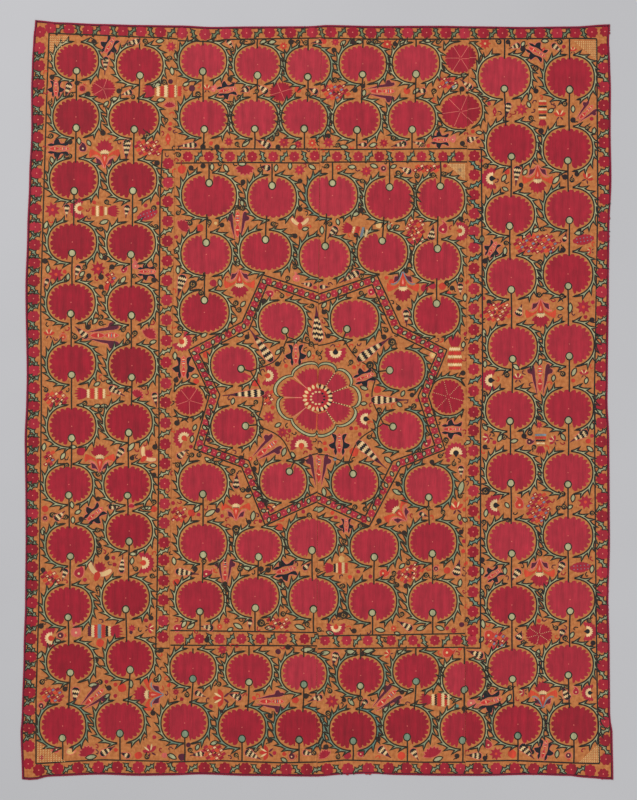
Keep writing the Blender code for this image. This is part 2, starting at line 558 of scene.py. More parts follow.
def curl(x, y, radius=CURL_RADIUS):
    """A dark knob with a plum or olive heart and a short tendril."""
    motif = Motif(x, y, turn=360 * rng.random(), flip=bool(rng.random() < 0.5), size=radius / CURL_RADIUS)
    ink = ink_tone(x) + 0.1
    motif.fill("outline", round_shape(0, 0, 2.8, points=10), tone=ink, shoulder=0.2)
    eye = "plum" if rng.random() < 0.35 else "cream"
    motif.line(eye, curve(((-0.9, 0.9), (0.9, 1.3), (1.4, -0.3), (0.1, -0.9), (-0.4, 0.1)), 2), 0.5, tone=1.0)
    motif.line("outline", curve(CURL_TAIL, 2), 1.1, tone=ink)


def sprig(x, y):
    """A short hooked tendril, red or dark."""
    motif = Motif(x, y, turn=360 * rng.random(), flip=bool(rng.random() < 0.5))
    colour = rng.choice(("outline", "crimson", "orange", "plum"))
    motif.line(str(colour), curve(((-2.6, 0.6), (0.0, -0.8), (2.0, 0.6), (0.9, 1.9)), 2), 1.1, tone=0.5)


PEPPER_BAND = 1.9  # of one zigzag band along the bud


def pepper(head_x, head_y, tip_x, tip_y, width):
    """A bud in zigzag bands of black and cream, from its round head to the tip of its plum tail."""
    length = math.hypot(tip_x - head_x, tip_y - head_y)
    turn = math.degrees(math.atan2(head_y - tip_y, tip_x - head_x))
    motif = Motif(head_x, head_y, turn=turn)
    start, body = -0.12 * length, 0.66 * length
    bands = int(np.clip(round(body / PEPPER_BAND), 3, 9))

    def half(place):
        share = (place - start) / (body - start)
        if share < 0.3:
            return width / 2 * math.sqrt(max(0.12, 1 - ((0.3 - share) / 0.3) ** 2))
        return width / 2 * (1 - 0.6 * (share - 0.3) / 0.7)

    places = np.linspace(start, body, bands + 1)
    for number in range(bands):
        edges = []
        for place, teeth in ((places[number], number > 0), (places[number + 1], True)):
            across = np.linspace(-half(place), half(place), 9)
            along = place + (np.arange(9) % 2) * (1.5 if teeth else 0.3)
            edges.append(np.column_stack((along, across)))
        colour, tone = ("cream", 0.05) if number % 2 else ("outline", 1.0)
        motif.fill(colour, np.vstack((edges[0], edges[1][::-1])), tone, shoulder=0.12)
    rim = np.array([(place, half(place) + 0.45) for place in np.linspace(start, body, 7)])
    last = half(body)
    motif.line("pink", np.vstack(((body, last), rim[::-1], rim * (1, -1), (body, -last))), 0.6, tone=0.4)
    waist = body + 0.4 * (length - body)
    tail = (
        (body, last), (waist, last * 0.5), (length, 0.6), (length, -0.2), (waist, -last * 0.5), (body, -last),
    )
    motif.fill("plum", curve(tail, 2), tone=0.4, shoulder=0.12)


# The two kinds of iris: one wing of each, drawn above the flower's axis.
TREFOIL_WING = (
    (-9.0, 2.2), (-12.6, 3.8), (-8.4, 5.8), (-5.8, 5.2), (-5.4, 8.2), (-1.8, 11.4), (0.2, 8.2), (1.6, 5.6),
    (4.8, 5.9), (9.8, 8.2), (9.4, 4.2), (6.8, 2.6), (0.0, 3.6), (-4.0, 3.2),
)
SICKLE_WING = (
    (-14.0, 2.0), (-8.0, 3.6), (-2.0, 5.4), (2.4, 6.2), (3.4, 9.0), (6.2, 9.8), (7.6, 7.6), (10.2, 7.6),
    (10.4, 5.2), (7.2, 4.0), (2.0, 3.6), (-6.0, 2.7),
)


def iris(x, y, turn, size, wing):
    """Two dark lobed wings with a red figure of eight between them, lying along turn."""
    motif = Motif(x, y, turn=turn, size=size)
    shape, tone = (TREFOIL_WING, 1.0) if wing == "outline" else (SICKLE_WING, 0.45)
    for flip in (1, -1):
        outline = ring_curve(np.array(shape) * (1, flip))
        motif.edging("pink", outline * 1.04, 0.6, 0.4)
        motif.fill(wing, outline, tone=tone, shoulder=0.25)
    for side, shade in ((-1, 0.9), (1, 0.5)):
        oval = almond(side * 5.2, 0, 11.0, 3.9, 4)
        motif.fill("orange", oval, tone=shade)
        motif.line("pink", oval, 0.9, closed=True, tone=0.45)
    for place, colour in ((-4.6, "cream"), (3.2, "cream"), (5.2, "leaf"), (7.2, "cream")):
        motif.raised(colour, round_shape(place, 0, 0.6, 1.7, 6), 0.7 if colour == "leaf" else 0.1)


# A palmette, its right half, from its foot at the bottom to its fan at the top.
PALMETTE_WING = (
    (2.0, -8.0), (4.0, -4.6), (8.0, -2.2), (11.5, -2.6), (15.8, -5.6), (16.4, -1.0), (15.0, 3.4),
    (13.0, 3.2), (8.8, 1.2), (4.6, -1.6),
)
PALMETTE_VEIN = ((0.5, -16.5), (2.6, -11.0), (5.6, -6.2), (9.0, -4.1), (12.0, -4.6))
PALMETTE_LEAF = (
    (0.8, -16.0), (3.2, -13.2), (5.2, -12.2), (8.4, -11.8), (9.0, -8.0), (9.6, -5.6), (7.0, -6.2),
    (4.2, -8.2), (2.2, -11.4),
)
PALMETTE_CONE = (
    (-2.6, -1.0), (-3.2, -5.0), (-2.0, -10.0), (-0.4, -15.0), (0.4, -15.0), (2.0, -10.0), (3.2, -5.0),
    (2.6, -1.0),
)


def palmette(x, y, turn, size, arc):
    """A lotus: a crimson fan over cream teeth, swept orange wings, and dark leaves beside its foot."""
    motif = Motif(x, y, turn=turn, size=size, tone=0.6)
    for side in (-1, 1):
        mirror = np.array((side, 1))
        motif.fill("orange", np.array(PALMETTE_WING) * mirror, tone=0.45, shoulder=0.2)
        motif.line(arc, curve(np.array(PALMETTE_VEIN) * mirror, 3), 1.2, tone=0.4 if arc == "pink" else 0.75)
        leaflet = ring_curve(np.array(PALMETTE_LEAF) * mirror)
        motif.edging("pink", leaflet, 0.9, 0.5)
        motif.fill("plum", leaflet, tone=0.5, shoulder=0.35)
    motif.fill("orange", PALMETTE_CONE, tone=0.7, shoulder=0.2)
    motif.raised("pink", ((-1.2, -5.0), (0, -10.0), (1.2, -5.0), (0, -3.4)), 0.0)
    fan = toothed_arc(10.4, 12.5, 8, 172, 7, 0.22, y=2.0)
    motif.fill("crimson", np.vstack((fan, (-5.5, 1.2), (5.5, 1.2))), tone=0.6)
    cap = toothed_arc(5.6, 4.2, 0, 180, 6, 0.3, y=-0.6)
    motif.raised("cream", np.vstack((cap, (-4.6, -1.8), (4.6, -1.8))), 0.1)
    motif.raised("outline", zigzag_block(-1.5, -0.7, 3.6, 4)[:, ::-1], 0.6, 0.1, lift=0.1 * MM)


TULIP_TEETH = (
    (5.6, 3.6), (2.0, 5.6), (-2.4, 6.6), (-5.4, 5.4), (-3.0, 4.2), (-7.4, 3.2), (-3.6, 1.7), (-8.0, 0.3),
    (-3.6, -1.3), (-7.4, -2.9), (-3.0, -4.0), (-5.4, -5.4), (-2.4, -6.6), (2.0, -5.6), (5.6, -3.6),
)


BAR_TONES = {"cream": 0.05, "orange": 0.85, "leaf": 0.75, "outline": 0.8, "plum": 0.4}


def tulip(x, y, turn, size, bars):
    """A crimson tulip before a row of serrated bars: how far along, colour, width and height of each."""
    motif = Motif(x, y, turn=turn, size=size, tone=0.6)
    motif.fill("crimson", TULIP_TEETH)
    for place, colour, width, height in bars:
        bar = zigzag_block(place - width / 2, place + width / 2, height / 2, max(3, int(height / 2.2)))
        level = RAISED if colour in ("cream", "leaf", "outline") else FILL_HEIGHT
        motif.fill(colour, bar, BAR_TONES[colour], level, shoulder=0.12)


LOZENGE = ((-3.0, 0), (-0.9, -2.5), (3.0, 0), (0.9, 2.5))
LOZENGE_COLUMN, LOZENGE_ROW = 4.4, 3.7  # chart steps from one lozenge to the next


def cluster(x, y, across, up, turn, blue):
    """A patch of small red lozenges with pale and dark ones among them."""
    motif = Motif(x, y, turn=turn)
    rows = max(2, int(round(up / 3.9)))
    columns = max(2, int(round(across / LOZENGE_COLUMN)))
    for row in range(rows):
        for column in range(columns):
            over = (column - (columns - 1) / 2) * LOZENGE_COLUMN + (1.1 if row % 2 else -1.1)
            rise = (row - (rows - 1) / 2) * LOZENGE_ROW + 0.5 * math.sin(column * 2.1)
            if (over / (across / 2 + 1)) ** 2 + (rise / (up / 2 + 1)) ** 2 > 1:
                continue
            middle = np.array((over, rise))
            shape = np.array(LOZENGE) + middle
            kind = (row * 2 + column) % 5
            tone = 0.8 if kind % 2 else 0.4
            motif.fill("orange" if kind == 2 else "crimson", shape, tone, shoulder=0.2)
            if kind == 0:
                motif.raised("cream", shape * 0.45 + middle * 0.55, 0.0, 0.1)
            if kind == 3:
                pale, tone = ("leaf", 0.75) if blue else ("cream", 0.1)
                motif.raised(pale, shape * 0.6 + middle * 0.4, tone, 0.1)
    for side in (-1, 1):
        dash = [(side * 2.0 - 1.4, 1.4), (side * 2.0 + 0.6, 0), (side * 2.0 - 1.4, -1.4)]
        motif.line("outline", dash, 0.9, tone=1.0)


def flame(x, y, turn, size, colour):
    """A flame-shaped bud with a forked tail and a pale heart. Its head points along turn."""
    motif = Motif(x, y, turn=turn - 90, size=size)
    half = ((0, 7.2), (2.6, 2.6), (2.9, -0.8), (1.1, -3.6), (2.6, -7.0), (0, -5.0))
    body = ring_curve(np.vstack((half, np.array(half[-2:0:-1]) * (-1, 1))))
    motif.fill(colour, body, tone=0.6)
    motif.raised("pink", ((-1.0, -0.6), (1.0, -0.6), (0, 2.6)), 0.0)


def pomegranate(x, y, turn, size, colour):
    """A round fruit with a ring round it and a three-pointed crown along turn."""
    motif = Motif(x, y, turn=turn - 90, size=size)
    motif.fill(colour, round_shape(0, 0, 3.4, 3.4, 12), tone=0.4)
    motif.line("pink", round_shape(0, 0, 4.3, 4.3, 14), 0.8, closed=True, tone=0.6)
    crown = ((-0.8, 3.6), (-2.6, 7.0), (-0.6, 5.4), (0, 7.8), (0.6, 5.4), (2.6, 7.0), (0.8, 3.6))
    motif.fill("orange", crown, tone=0.7, shoulder=0.15)
    motif.raised("plum" if colour == "crimson" else "cream", round_shape(0.2, -0.4, 1.2, 1.2, 7), 0.2, 0.2)


def blossom(x, y, radius, colour):
    """A ragged little blossom with an orange heart."""
    motif = Motif(x, y, turn=45 * rng.random())
    rim = toothed_arc(radius, radius, 0, 360, 8, 0.42)[:-1] * (0.94 + 0.12 * rng.random())
    motif.fill(colour, rim, tone=0.55 + 0.3 * rng.random(), shoulder=0.2)
    heart = round_shape(0, 0, radius * 0.22, points=7)
    motif.raised("orange" if colour == "crimson" else "cream", heart, 0.4)


def half_flower(x, y, turn, radius, dark):
    """A crimson half flower round a ring of cream teeth. It opens along turn."""
    motif = Motif(x, y, turn=turn - 90, size=radius / 7.4, tone=0.75)
    inner = np.radians(np.linspace(205, -25, 11))
    rim = toothed_arc(9.6, 9.6, -28, 208, 11, 0.16)
    motif.fill("crimson", np.vstack((rim, np.column_stack((3.6 * np.cos(inner), 3.6 * np.sin(inner))))))
    rim = toothed_arc(5.6, 5.6, -15, 195, 9, 0.2)
    inner = np.column_stack((2.3 * np.cos(inner), 2.3 * np.sin(inner)))
    motif.raised("cream", np.vstack((rim, inner)), 0.05)
    heart = np.vstack((toothed_arc(2.4, 2.4, -10, 190, 4, 0.1), (0, -3.4)))
    motif.fill("outline" if dark else "orange", heart, tone=0.9 if dark else 0.6, shoulder=0.15)


def crimson_fan(x, y, turn, across, up):
    """A serrated fan that opens along turn, edged in pink."""
    motif = Motif(x, y, turn=turn - 90, tone=0.6)
    rim = toothed_arc(across, up, 5, 175, 7, 0.22, y=-up * 0.4)
    outline = np.vstack((rim, (-across * 0.3, -up * 0.55), (across * 0.3, -up * 0.55)))
    motif.fill("crimson", outline)
    motif.edging("pink", outline * 1.06, 0.6, 0.6, 0.5 * MM)


def lily(x, y, turn, size, colour):
    """A lily that opens along turn: three petals, two pale spikes between them, and a plum foot."""
    for lean in (-62, 0, 62):
        Motif(x, y, turn + lean, size).fill(colour, almond(4.6, 0, 9.6, 4.6, 4), tone=0.75)
    for lean in (-30, 30):
        Motif(x, y, turn + lean, size).raised("cream", almond(5.4, 0, 8.4, 2.0, 3), 0.05)
    for lean in (-140, 140):
        Motif(x, y, turn + lean, size).fill("plum", almond(4.0, 0, 6.4, 2.2, 3), tone=0.4, shoulder=0.2)


COMMA = ((-3.2, 0), (-2.2, 3.2), (1.6, 3.8), (5.0, 1.4), (7.2, 3.8), (5.6, -1.2), (1.2, -3.6), (-2.4, -3.0))


def paisley(x, y, turn, size, colour):
    """A comma with a pale spot and a pink edge."""
    motif = Motif(x, y, turn=turn, size=size)
    body = ring_curve(COMMA)
    motif.edging("pink", body * 1.08, 0.7, 0.4)
    motif.fill(colour, body, tone=0.7)
    motif.raised("cream", round_shape(0, 0, 1.2, points=7), 0.1, 0.2)


def feather(x, y, turn, length, colour):
    """A leaf of small scales, with a pale spot in each."""
    motif = Motif(x, y, turn=turn, tone=0.75)
    body = almond(0, 0, length, length * 0.46, 7)
    body[1::2] *= 1.1
    motif.fill(colour, body)
    for over in np.arange(-0.3, 0.36, 0.16) * length:
        for rise in (-1.7, 1.7):
            motif.raised("leaf", round_shape(over, rise, 0.7, points=5), 0.75, 0.1)


ORCHID_WING = ((0, 0), (3.4, 1.6), (8.2, 6.4), (11.0, 5.0), (9.4, 1.0), (5.2, -2.4), (1.2, -3.0))
ORCHID_FOOT = ((-3.0, -1.6), (0, 1.4), (3.0, -1.6), (2.0, -7.0), (0, -8.4), (-2.0, -7.0))


def orchid(x, y, turn, size, colour):
    """Two pale leaves, a crimson fan between them and a red foot."""
    motif = Motif(x, y, turn=turn - 90, size=size)
    for side in (-1, 1):
        wing = ring_curve(np.array(ORCHID_WING) * (side, 1))
        motif.fill(colour, wing, tone=0.25)
        motif.line("pink", wing, 0.7, closed=True, tone=0.8)
    fan = toothed_arc(6.4, 8.6, 20, 160, 5, 0.25, y=1.6)
    motif.fill("crimson", np.vstack((fan, (-1.6, 0.6), (1.6, 0.6))), tone=0.6)
    motif.raised("orange", ORCHID_FOOT, 0.7, SHOULDER)


def blob(x, y, radius, colour):
    """A little round bud."""
    motif = Motif(x, y, turn=360 * rng.random())
    swing = np.linspace(0, 2 * math.pi, 10, endpoint=False)
    reach = radius * (0.88 + 0.2 * rng.random(10))
    rim = np.column_stack((reach * np.cos(swing), reach * np.sin(swing)))
    motif.fill(colour, rim, tone=0.5 + 0.3 * rng.random())


SPECKLE_ROWS = 11


def speckled_corner(x1, y1, x2, y2, x3, y3):
    """A corner of the ground filled with short cream stitches, from one place towards the other two."""
    motif = Motif(0, 0, tone=0.3)
    start, over, down = np.array((x1, -y1)), np.array((x2, -y2)), np.array((x3, -y3))
    stitch = (over - down) / np.linalg.norm(over - down) * 0.75
    for row in range(SPECKLE_ROWS):
        for column in range(SPECKLE_ROWS - row):
            place = start + (over - start) * (column + 0.4) / SPECKLE_ROWS
            place = place + (down - start) * (row + 0.4) / SPECKLE_ROWS
            motif.line("cream", (place - stitch, place, place + stitch), 0.8, tone=0.35)


# Where the motifs go, on the chart

# Columns of roundels: which way their stems run, -1 being down the chart; where the last stem ends; where a
# stem from the border starts; and the discs, as x, y, half width and half height.
COLUMNS = (
    (-1, 760.0, None, (
        (76.5, 61.0, 19.5, 16.3), (76.0, 117.0, 20.4, 17.9), (74.0, 179.5, 21.7, 18.2),
        (72.3, 242.0, 21.5, 18.0), (71.0, 302.4, 21.5, 18.3), (71.6, 363.5, 21.5, 18.3),
        (71.7, 426.3, 21.5, 18.3), (69.0, 484.5, 21.0, 17.5), (70.3, 545.0, 21.5, 18.3),
        (68.2, 606.0, 21.0, 18.3), (70.3, 662.0, 21.0, 17.8), (62.6, 726.0, 20.5, 19.0),
    )),
    (-1, 760.0, 38.0, (
        (139.7, 65.0, 20.7, 17.0), (134.0, 118.6, 22.3, 17.2), (132.7, 180.0, 21.4, 17.5),
        (131.2, 243.0, 21.5, 18.0), (131.2, 304.0, 21.0, 18.0), (132.0, 365.6, 21.0, 18.3),
        (128.6, 422.0, 21.0, 17.8), (127.6, 484.5, 21.0, 17.8), (129.3, 531.0, 20.5, 17.0),
        (125.8, 598.0, 21.0, 18.3), (130.0, 658.6, 21.0, 18.0), (120.0, 721.7, 21.5, 18.5),
    )),
    (-1, 149.8, 40.5, ((203.0, 61.0, 21.0, 17.0), (204.0, 118.0, 21.5, 17.5))),
    (-1, 149.8, 39.0, ((257.5, 64.5, 20.5, 17.5), (254.7, 118.0, 20.5, 17.8))),
    (-1, 149.8, 38.5, ((308.0, 66.0, 20.0, 17.0), (304.5, 118.0, 20.5, 17.5))),
    (-1, 149.0, 38.8, ((362.8, 63.8, 21.0, 17.5), (357.0, 119.3, 21.0, 17.5))),
    (-1, 148.6, 39.2, ((416.0, 63.0, 21.0, 17.5), (412.0, 118.6, 21.0, 17.5))),
    (-1, 762.0, 39.0, (
        (504.4, 76.8, 23.5, 19.5), (511.3, 144.0, 22.0, 19.5), (509.8, 214.4, 22.0, 18.5),
        (511.2, 277.5, 22.0, 19.0), (512.6, 347.0, 22.0, 19.5), (510.3, 410.0, 22.0, 18.5),
        (511.0, 472.0, 22.0, 18.5), (511.7, 541.4, 22.0, 19.0), (511.9, 605.0, 22.0, 18.5),
        (512.6, 667.7, 22.0, 18.5), (517.9, 724.3, 22.0, 18.5),
    )),
    (-1, 763.0, 39.0, (
        (569.5, 77.5, 22.0, 19.5), (568.0, 148.8, 22.0, 19.5), (569.4, 208.8, 22.0, 18.5),
        (568.0, 274.0, 22.0, 19.5), (569.4, 344.0, 22.0, 19.5), (568.6, 408.8, 22.0, 18.5),
        (568.0, 472.6, 22.0, 18.5), (568.0, 535.7, 22.0, 18.5), (570.0, 599.6, 22.0, 18.5),
        (568.5, 664.0, 22.0, 18.5), (573.8, 725.0, 22.0, 18.5),
    )),
    (-1, 762.0, 648.3, ((193.0, 668.4, 20.5, 16.5), (184.7, 723.0, 21.0, 18.0))),
    (-1, 761.0, 646.0, ((249.0, 671.2, 20.5, 17.0), (242.0, 727.3, 21.0, 18.0))),
    (-1, 762.0, 646.2, ((303.8, 673.3, 20.5, 17.5), (299.0, 728.7, 21.0, 18.0))),
    (-1, 760.5, 648.8, ((360.7, 675.4, 20.5, 17.5), (353.0, 730.0, 21.0, 18.0))),
    (-1, 762.0, 648.2, ((416.0, 671.0, 20.5, 17.0), (407.3, 726.0, 21.0, 18.0))),
    (-1, 762.2, 647.5, ((464.2, 679.0, 19.0, 17.0), (462.7, 729.0, 20.0, 17.5))),
    (1, 163.8, None, ((204.4, 312.4, 22.0, 19.0), (206.3, 254.4, 22.6, 19.1), (209.0, 195.7, 24.6, 20.0))),
    (1, 163.8, None, ((265.6, 251.2, 23.0, 18.5), (272.0, 197.6, 21.7, 19.5))),
    (1, 162.5, None, ((325.0, 257.6, 23.0, 18.8), (332.5, 195.5, 22.5, 19.5))),
    (1, 162.0, None, ((382.5, 252.4, 22.5, 19.0), (389.5, 199.0, 22.0, 19.5))),
    (1, 162.0, None, ((436.7, 315.0, 20.5, 18.5), (437.3, 260.7, 21.0, 19.0), (440.5, 198.2, 21.5, 19.5))),
    (-1, 631.4, None, ((203.0, 483.0, 21.5, 18.5), (203.0, 543.2, 21.5, 18.5), (200.0, 600.0, 21.5, 18.5))),
    (-1, 632.0, None, ((258.6, 546.5, 21.0, 16.5), (255.0, 596.5, 21.5, 18.5))),
    (-1, 633.0, None, ((312.0, 538.5, 22.0, 18.5), (313.6, 597.8, 22.0, 18.5))),
    (-1, 635.5, None, ((374.3, 546.5, 21.5, 17.0), (372.4, 601.5, 21.5, 18.5))),
    (-1, 634.0, None, ((428.5, 485.6, 21.5, 18.5), (432.5, 541.8, 21.5, 18.5), (432.8, 601.0, 21.5, 18.5))),
)

# Roundels inside the star: x, y, half width, half height, then the button's x and y, and where its stem ends.
STAR_ROUNDELS = (
    (282.0, 321.3, 21.0, 18.0, 285.0, 330.5, 287.5, 338.0),
    (354.6, 319.0, 21.5, 18.0, 347.0, 329.0, 343.0, 339.0),
    (233.7, 365.0, 20.5, 18.0, 241.0, 368.7, 250.5, 371.2),
    (402.0, 369.5, 20.5, 18.0, 389.8, 370.3, 378.0, 371.5),
    (234.0, 426.7, 20.5, 18.0, 245.4, 426.0, 256.3, 424.8),
    (400.6, 430.5, 20.5, 18.0, 393.0, 426.7, 383.3, 423.5),
    (283.3, 481.6, 21.0, 18.0, 289.4, 471.5, 294.0, 462.4),
    (355.0, 483.0, 21.0, 18.0, 353.0, 474.0, 348.3, 463.0),
)

# Rounds with pale spokes: x, y, half width, half height, spokes, whether they are dotted, the first spoke's
# angle, and where the arms round it start and end, as angles.
SPOKED_ROUNDS = (
    (460.8, 58.1, 16.0, 14.5, 6, False, 0, ((155, 95), (65, -10), (-70, -155))),
    (460.8, 110.9, 20.0, 17.0, 6, False, 10, ((165, 100), (78, -60), (-80, -160))),
    (189.2, 400.4, 14.5, 14.5, 5, False, 56, ((150, 75), (55, 8), (-38, -84), (-92, -145))),
    (448.1, 396.7, 16.4, 17.2, 6, True, -15, ((142, 35), (-38, -145))),
    (103.3, 88.9, 12.4, 10.7, 5, False, 0, ()), (281.1, 91.9, 12.0, 10.0, 4, False, 20, ()),
    (539.0, 634.4, 13.6, 11.0, 6, True, 20, ()),
)


RIM_OVERLAP = 1.5  # of a stem's end over the rim that it runs to
BUTTON_DROP = 0.62  # of a disc's half height, from its middle to its button
LIGHTER_FROM_X, LIGHTER_TO_Y = 170, 700  # where the discs' crimson is lighter
STAR_MOUTH = 1.6  # half the opening of the bays inside the star


def stitch_columns():
    for stems, last_end_y, top_y, rows in COLUMNS:
        down = stems < 0
        for number, (x, y, across, up) in enumerate(rows):
            drop = (-1 if down else 1) * (up * BUTTON_DROP + 0.8 * (rng.random() - 0.5))
            tone = (0.55 if x > LIGHTER_FROM_X and y < LIGHTER_TO_Y else 0.25) + 0.35 * rng.random()
            tint = leaf_tone(x, y)
            ink = ink_tone(x)
            roundel(x, y, across, up, (0.6 * (rng.random() - 0.5), drop), tone, in_field(x, y), tint, ink)
            button_y = y - drop + (BUTTON_RADIUS if down else -BUTTON_RADIUS)
            if number + 1 < len(rows):
                next_x, next_y, _, next_up = rows[number + 1]
                end_y = next_y + (-next_up + RIM_OVERLAP if down else next_up - RIM_OVERLAP)
                stem(x, button_y, x + 0.2 * (next_x - x), end_y, ink)
            else:
                stem(x, button_y, x, last_end_y, ink)
        if top_y is not None:
            x, y, _, up = rows[0]
            stem(x, top_y, x, y - up + RIM_OVERLAP, ink_tone(x))


def leaf_tone(x, y):
    """Greener or bluer leaves, by region of the cloth."""
    low = math.exp(-(((x - 250) / 240) ** 2) - ((y - 730) / 55) ** 2)
    right = math.exp(-(((x - 425) / 75) ** 2) - ((y - 480) / 150) ** 2)
    return float(np.clip(0.08 + 0.07 * math.sin(x / 46.0 + 0.7) + 0.32 * low + 0.26 * right, 0.0, 0.5))


OLIVE_INK, BLUE_INK = 0.15, 0.55
INK_CHANGE_X = 465  # the third seam


def ink_tone(x):
    """Outlines are olive on the left of the cloth and blue-black on the right."""
    return OLIVE_INK if x < INK_CHANGE_X else BLUE_INK


FIELD_LEFT, FIELD_RIGHT = 160, 482
FIELD_TOP, FIELD_BOTTOM = 150, 648


def in_field(x, y):
    """Whether a place is inside the inner border, where the discs have finer teeth."""
    return FIELD_LEFT < x < FIELD_RIGHT and FIELD_TOP < y < FIELD_BOTTOM


def stitch_star_roundels():
    for x, y, across, up, button_x, button_y, end_x, end_y in STAR_ROUNDELS:
        button = (button_x - x, y - button_y)
        tone = 0.7 + 0.2 * rng.random()
        roundel(x, y, across, up, button, tone, True, leaf_tone(x, y), OLIVE_INK, mouth=STAR_MOUTH)
        reach = math.hypot(end_x - button_x, end_y - button_y)
        start = BUTTON_RADIUS / reach
        start_x, start_y = button_x + (end_x - button_x) * start, button_y + (end_y - button_y) * start
        stem(start_x, start_y, end_x, end_y, OLIVE_INK)


# The centre flower: where the nine lobes meet, and how far each bulges, in chart steps.
FLOWER_X, FLOWER_Y = 317.6, 398.0
FLOWER_NOTCHES = (
    (318.0, 365.7), (336.7, 370.0), (351.6, 385.2), (354.0, 407.6), (336.7, 426.2), (316.4, 433.7),
    (290.7, 420.0), (280.7, 397.2), (291.5, 374.8),
)
FLOWER_BULGES = (
    (329.0, 361.8), (348.6, 372.4), (361.4, 396.6), (353.4, 421.0), (327.0, 435.6), (303.0, 434.0),
    (277.6, 411.0), (274.6, 385.0), (303.5, 363.6),
)


def round_the_eye(angle, across, up):
    """A place on an oval round the centre flower's middle, turned outwards."""
    x, y = FLOWER_X + across * math.cos(angle), FLOWER_Y - up * math.sin(angle)
    return Motif(x, y, turn=math.degrees(angle))


PETAL_ROOT = 15.5  # from the flower's middle to the foot of its crimson petals
EYE_PETALS = 18  # round its orange eye


def centre_flower():
    motif = Motif(FLOWER_X, FLOWER_Y, tone=0.1)
    centre = np.array((FLOWER_X, FLOWER_Y))
    notches = [(np.array(p) - centre) * (1, -1) for p in FLOWER_NOTCHES]
    bulges = [(np.array(p) - centre) * (1, -1) for p in FLOWER_BULGES]
    for number, bulge in enumerate(bulges):
        start, end = notches[number], notches[(number + 1) % len(notches)]
        middle = (start + end) / 2
        lift = bulge - middle
        turn = np.linspace(0, math.pi, 11)
        lobe = np.array([middle + (start - middle) * math.cos(t) + lift * math.sin(t) for t in turn])
        inner = lobe * 0.93
        band = np.vstack((lobe, inner[::-1]))
        motif.fill("leaf", band, tone=0.05, shoulder=0.2)
        for line in (lobe, inner):
            motif.line("outline", line, 1.1, tone=0.1)
        rim = []
        for i, share in enumerate(np.linspace(0.1, 0.9, 15)):
            place = middle + (start - middle) * math.cos(share * math.pi) + lift * math.sin(share * math.pi)
            rim.append(place * (0.86 if i % 2 else 0.79))
        root = [way / np.linalg.norm(way) * PETAL_ROOT for way in (end, start)]
        motif.fill("crimson", np.vstack((rim, root)), tone=0.75)
    for notch in notches:
        spoke = [notch * share for share in np.linspace(0.42, 0.9, 14)]
        if notch[0] > 4:
            for i in range(len(spoke) - 1):
                colour, tone = ("outline", 1.0) if i % 2 else ("cream", 0.1)
                motif.line(colour, spoke[i : i + 2], 0.9, tone=tone)
        else:
            motif.line("pink" if notch[0] < -4 else "orange", spoke, 0.8, tone=0.0)
    motif.fill("orange", round_shape(0, 0, 15.6, 14.2, 24), tone=0.95, height=FILL_HEIGHT - 0.1 * MM)
    for number in range(EYE_PETALS):
        angle = math.radians(10 + number * 20)
        petal = round_the_eye(angle, 12.8, 11.6)
        petal.raised("cream", almond(0, 0, 5.4, 3.3, 3), 0.25 * rng.random(), SHOULDER)
        angle += 0.17
        if math.cos(angle) > 0.1:
            dash = round_the_eye(angle, 13.4, 12.2)
            dash.raised("outline", almond(0, 0, 4.8, 2.2, 3), 1.0, lift=0.1 * MM)
    motif.raised("crimson", scallops(9.6, 8.8, 12, 1.0, points=4), 0.7, SHOULDER, lift=0.1 * MM)
    for number in range(12):
        angle = math.radians(15 + number * 30)
        bead = round_shape(6.8 * math.cos(angle), 6.2 * math.sin(angle), 1.5, 1.2, 7)
        colour, tone = ("outline", 0.9) if math.cos(angle) > 0.3 else ("cream", 0.2)
        motif.raised(colour, bead, tone, 0.2, lift=0.2 * MM)
    motif.raised("crimson", round_shape(0, 0, 3.8, 3.6, 12), 0.9, SHOULDER, lift=0.2 * MM)


# Borders

def chart_line(points, tone, width=1.55):
    """A stitched line through places on the chart."""
    path = np.array(points, float) * (1, -1)
    Motif(0, 0, tone=tone).line("outline", path, width)


# The inner line of the outer border, by panel and side.
OUTER_LINES = (
    ((49.1, 33.3), (96.0, 35.0), (140.0, 37.0), (160.0, 37.6), (177.5, 39.0)),
    ((178.0, 40.6), (212.0, 41.8), (225.0, 39.5), (280.0, 38.6), (321.0, 38.0)),
    ((321.5, 38.0), (360.0, 39.0), (420.0, 39.2), (469.0, 39.2)),
    ((469.5, 39.3), (500.0, 39.3), (575.0, 38.8), (596.7, 39.3)),
    ((49.1, 33.3), (46.6, 100.0), (43.6, 200.0), (40.7, 300.0), (41.4, 400.0), (39.0, 600.0), (36.0, 700.0), (
        36.0, 763.8,
    )),
    ((596.7, 39.3), (597.8, 200.0), (594.3, 400.0), (596.0, 600.0), (597.3, 700.0), (599.4, 763.6)),
    ((36.0, 763.8), (70.0, 761.4), (102.0, 759.8), (169.0, 761.4)),
    ((170.0, 762.0), (221.0, 760.7), (282.0, 762.8), (316.5, 762.0)),
    ((317.5, 762.4), (345.0, 760.0), (371.0, 760.7), (422.0, 762.2), (465.0, 762.2)),
    ((465.8, 761.5), (512.0, 760.4), (574.0, 763.0), (599.4, 763.6)),
)
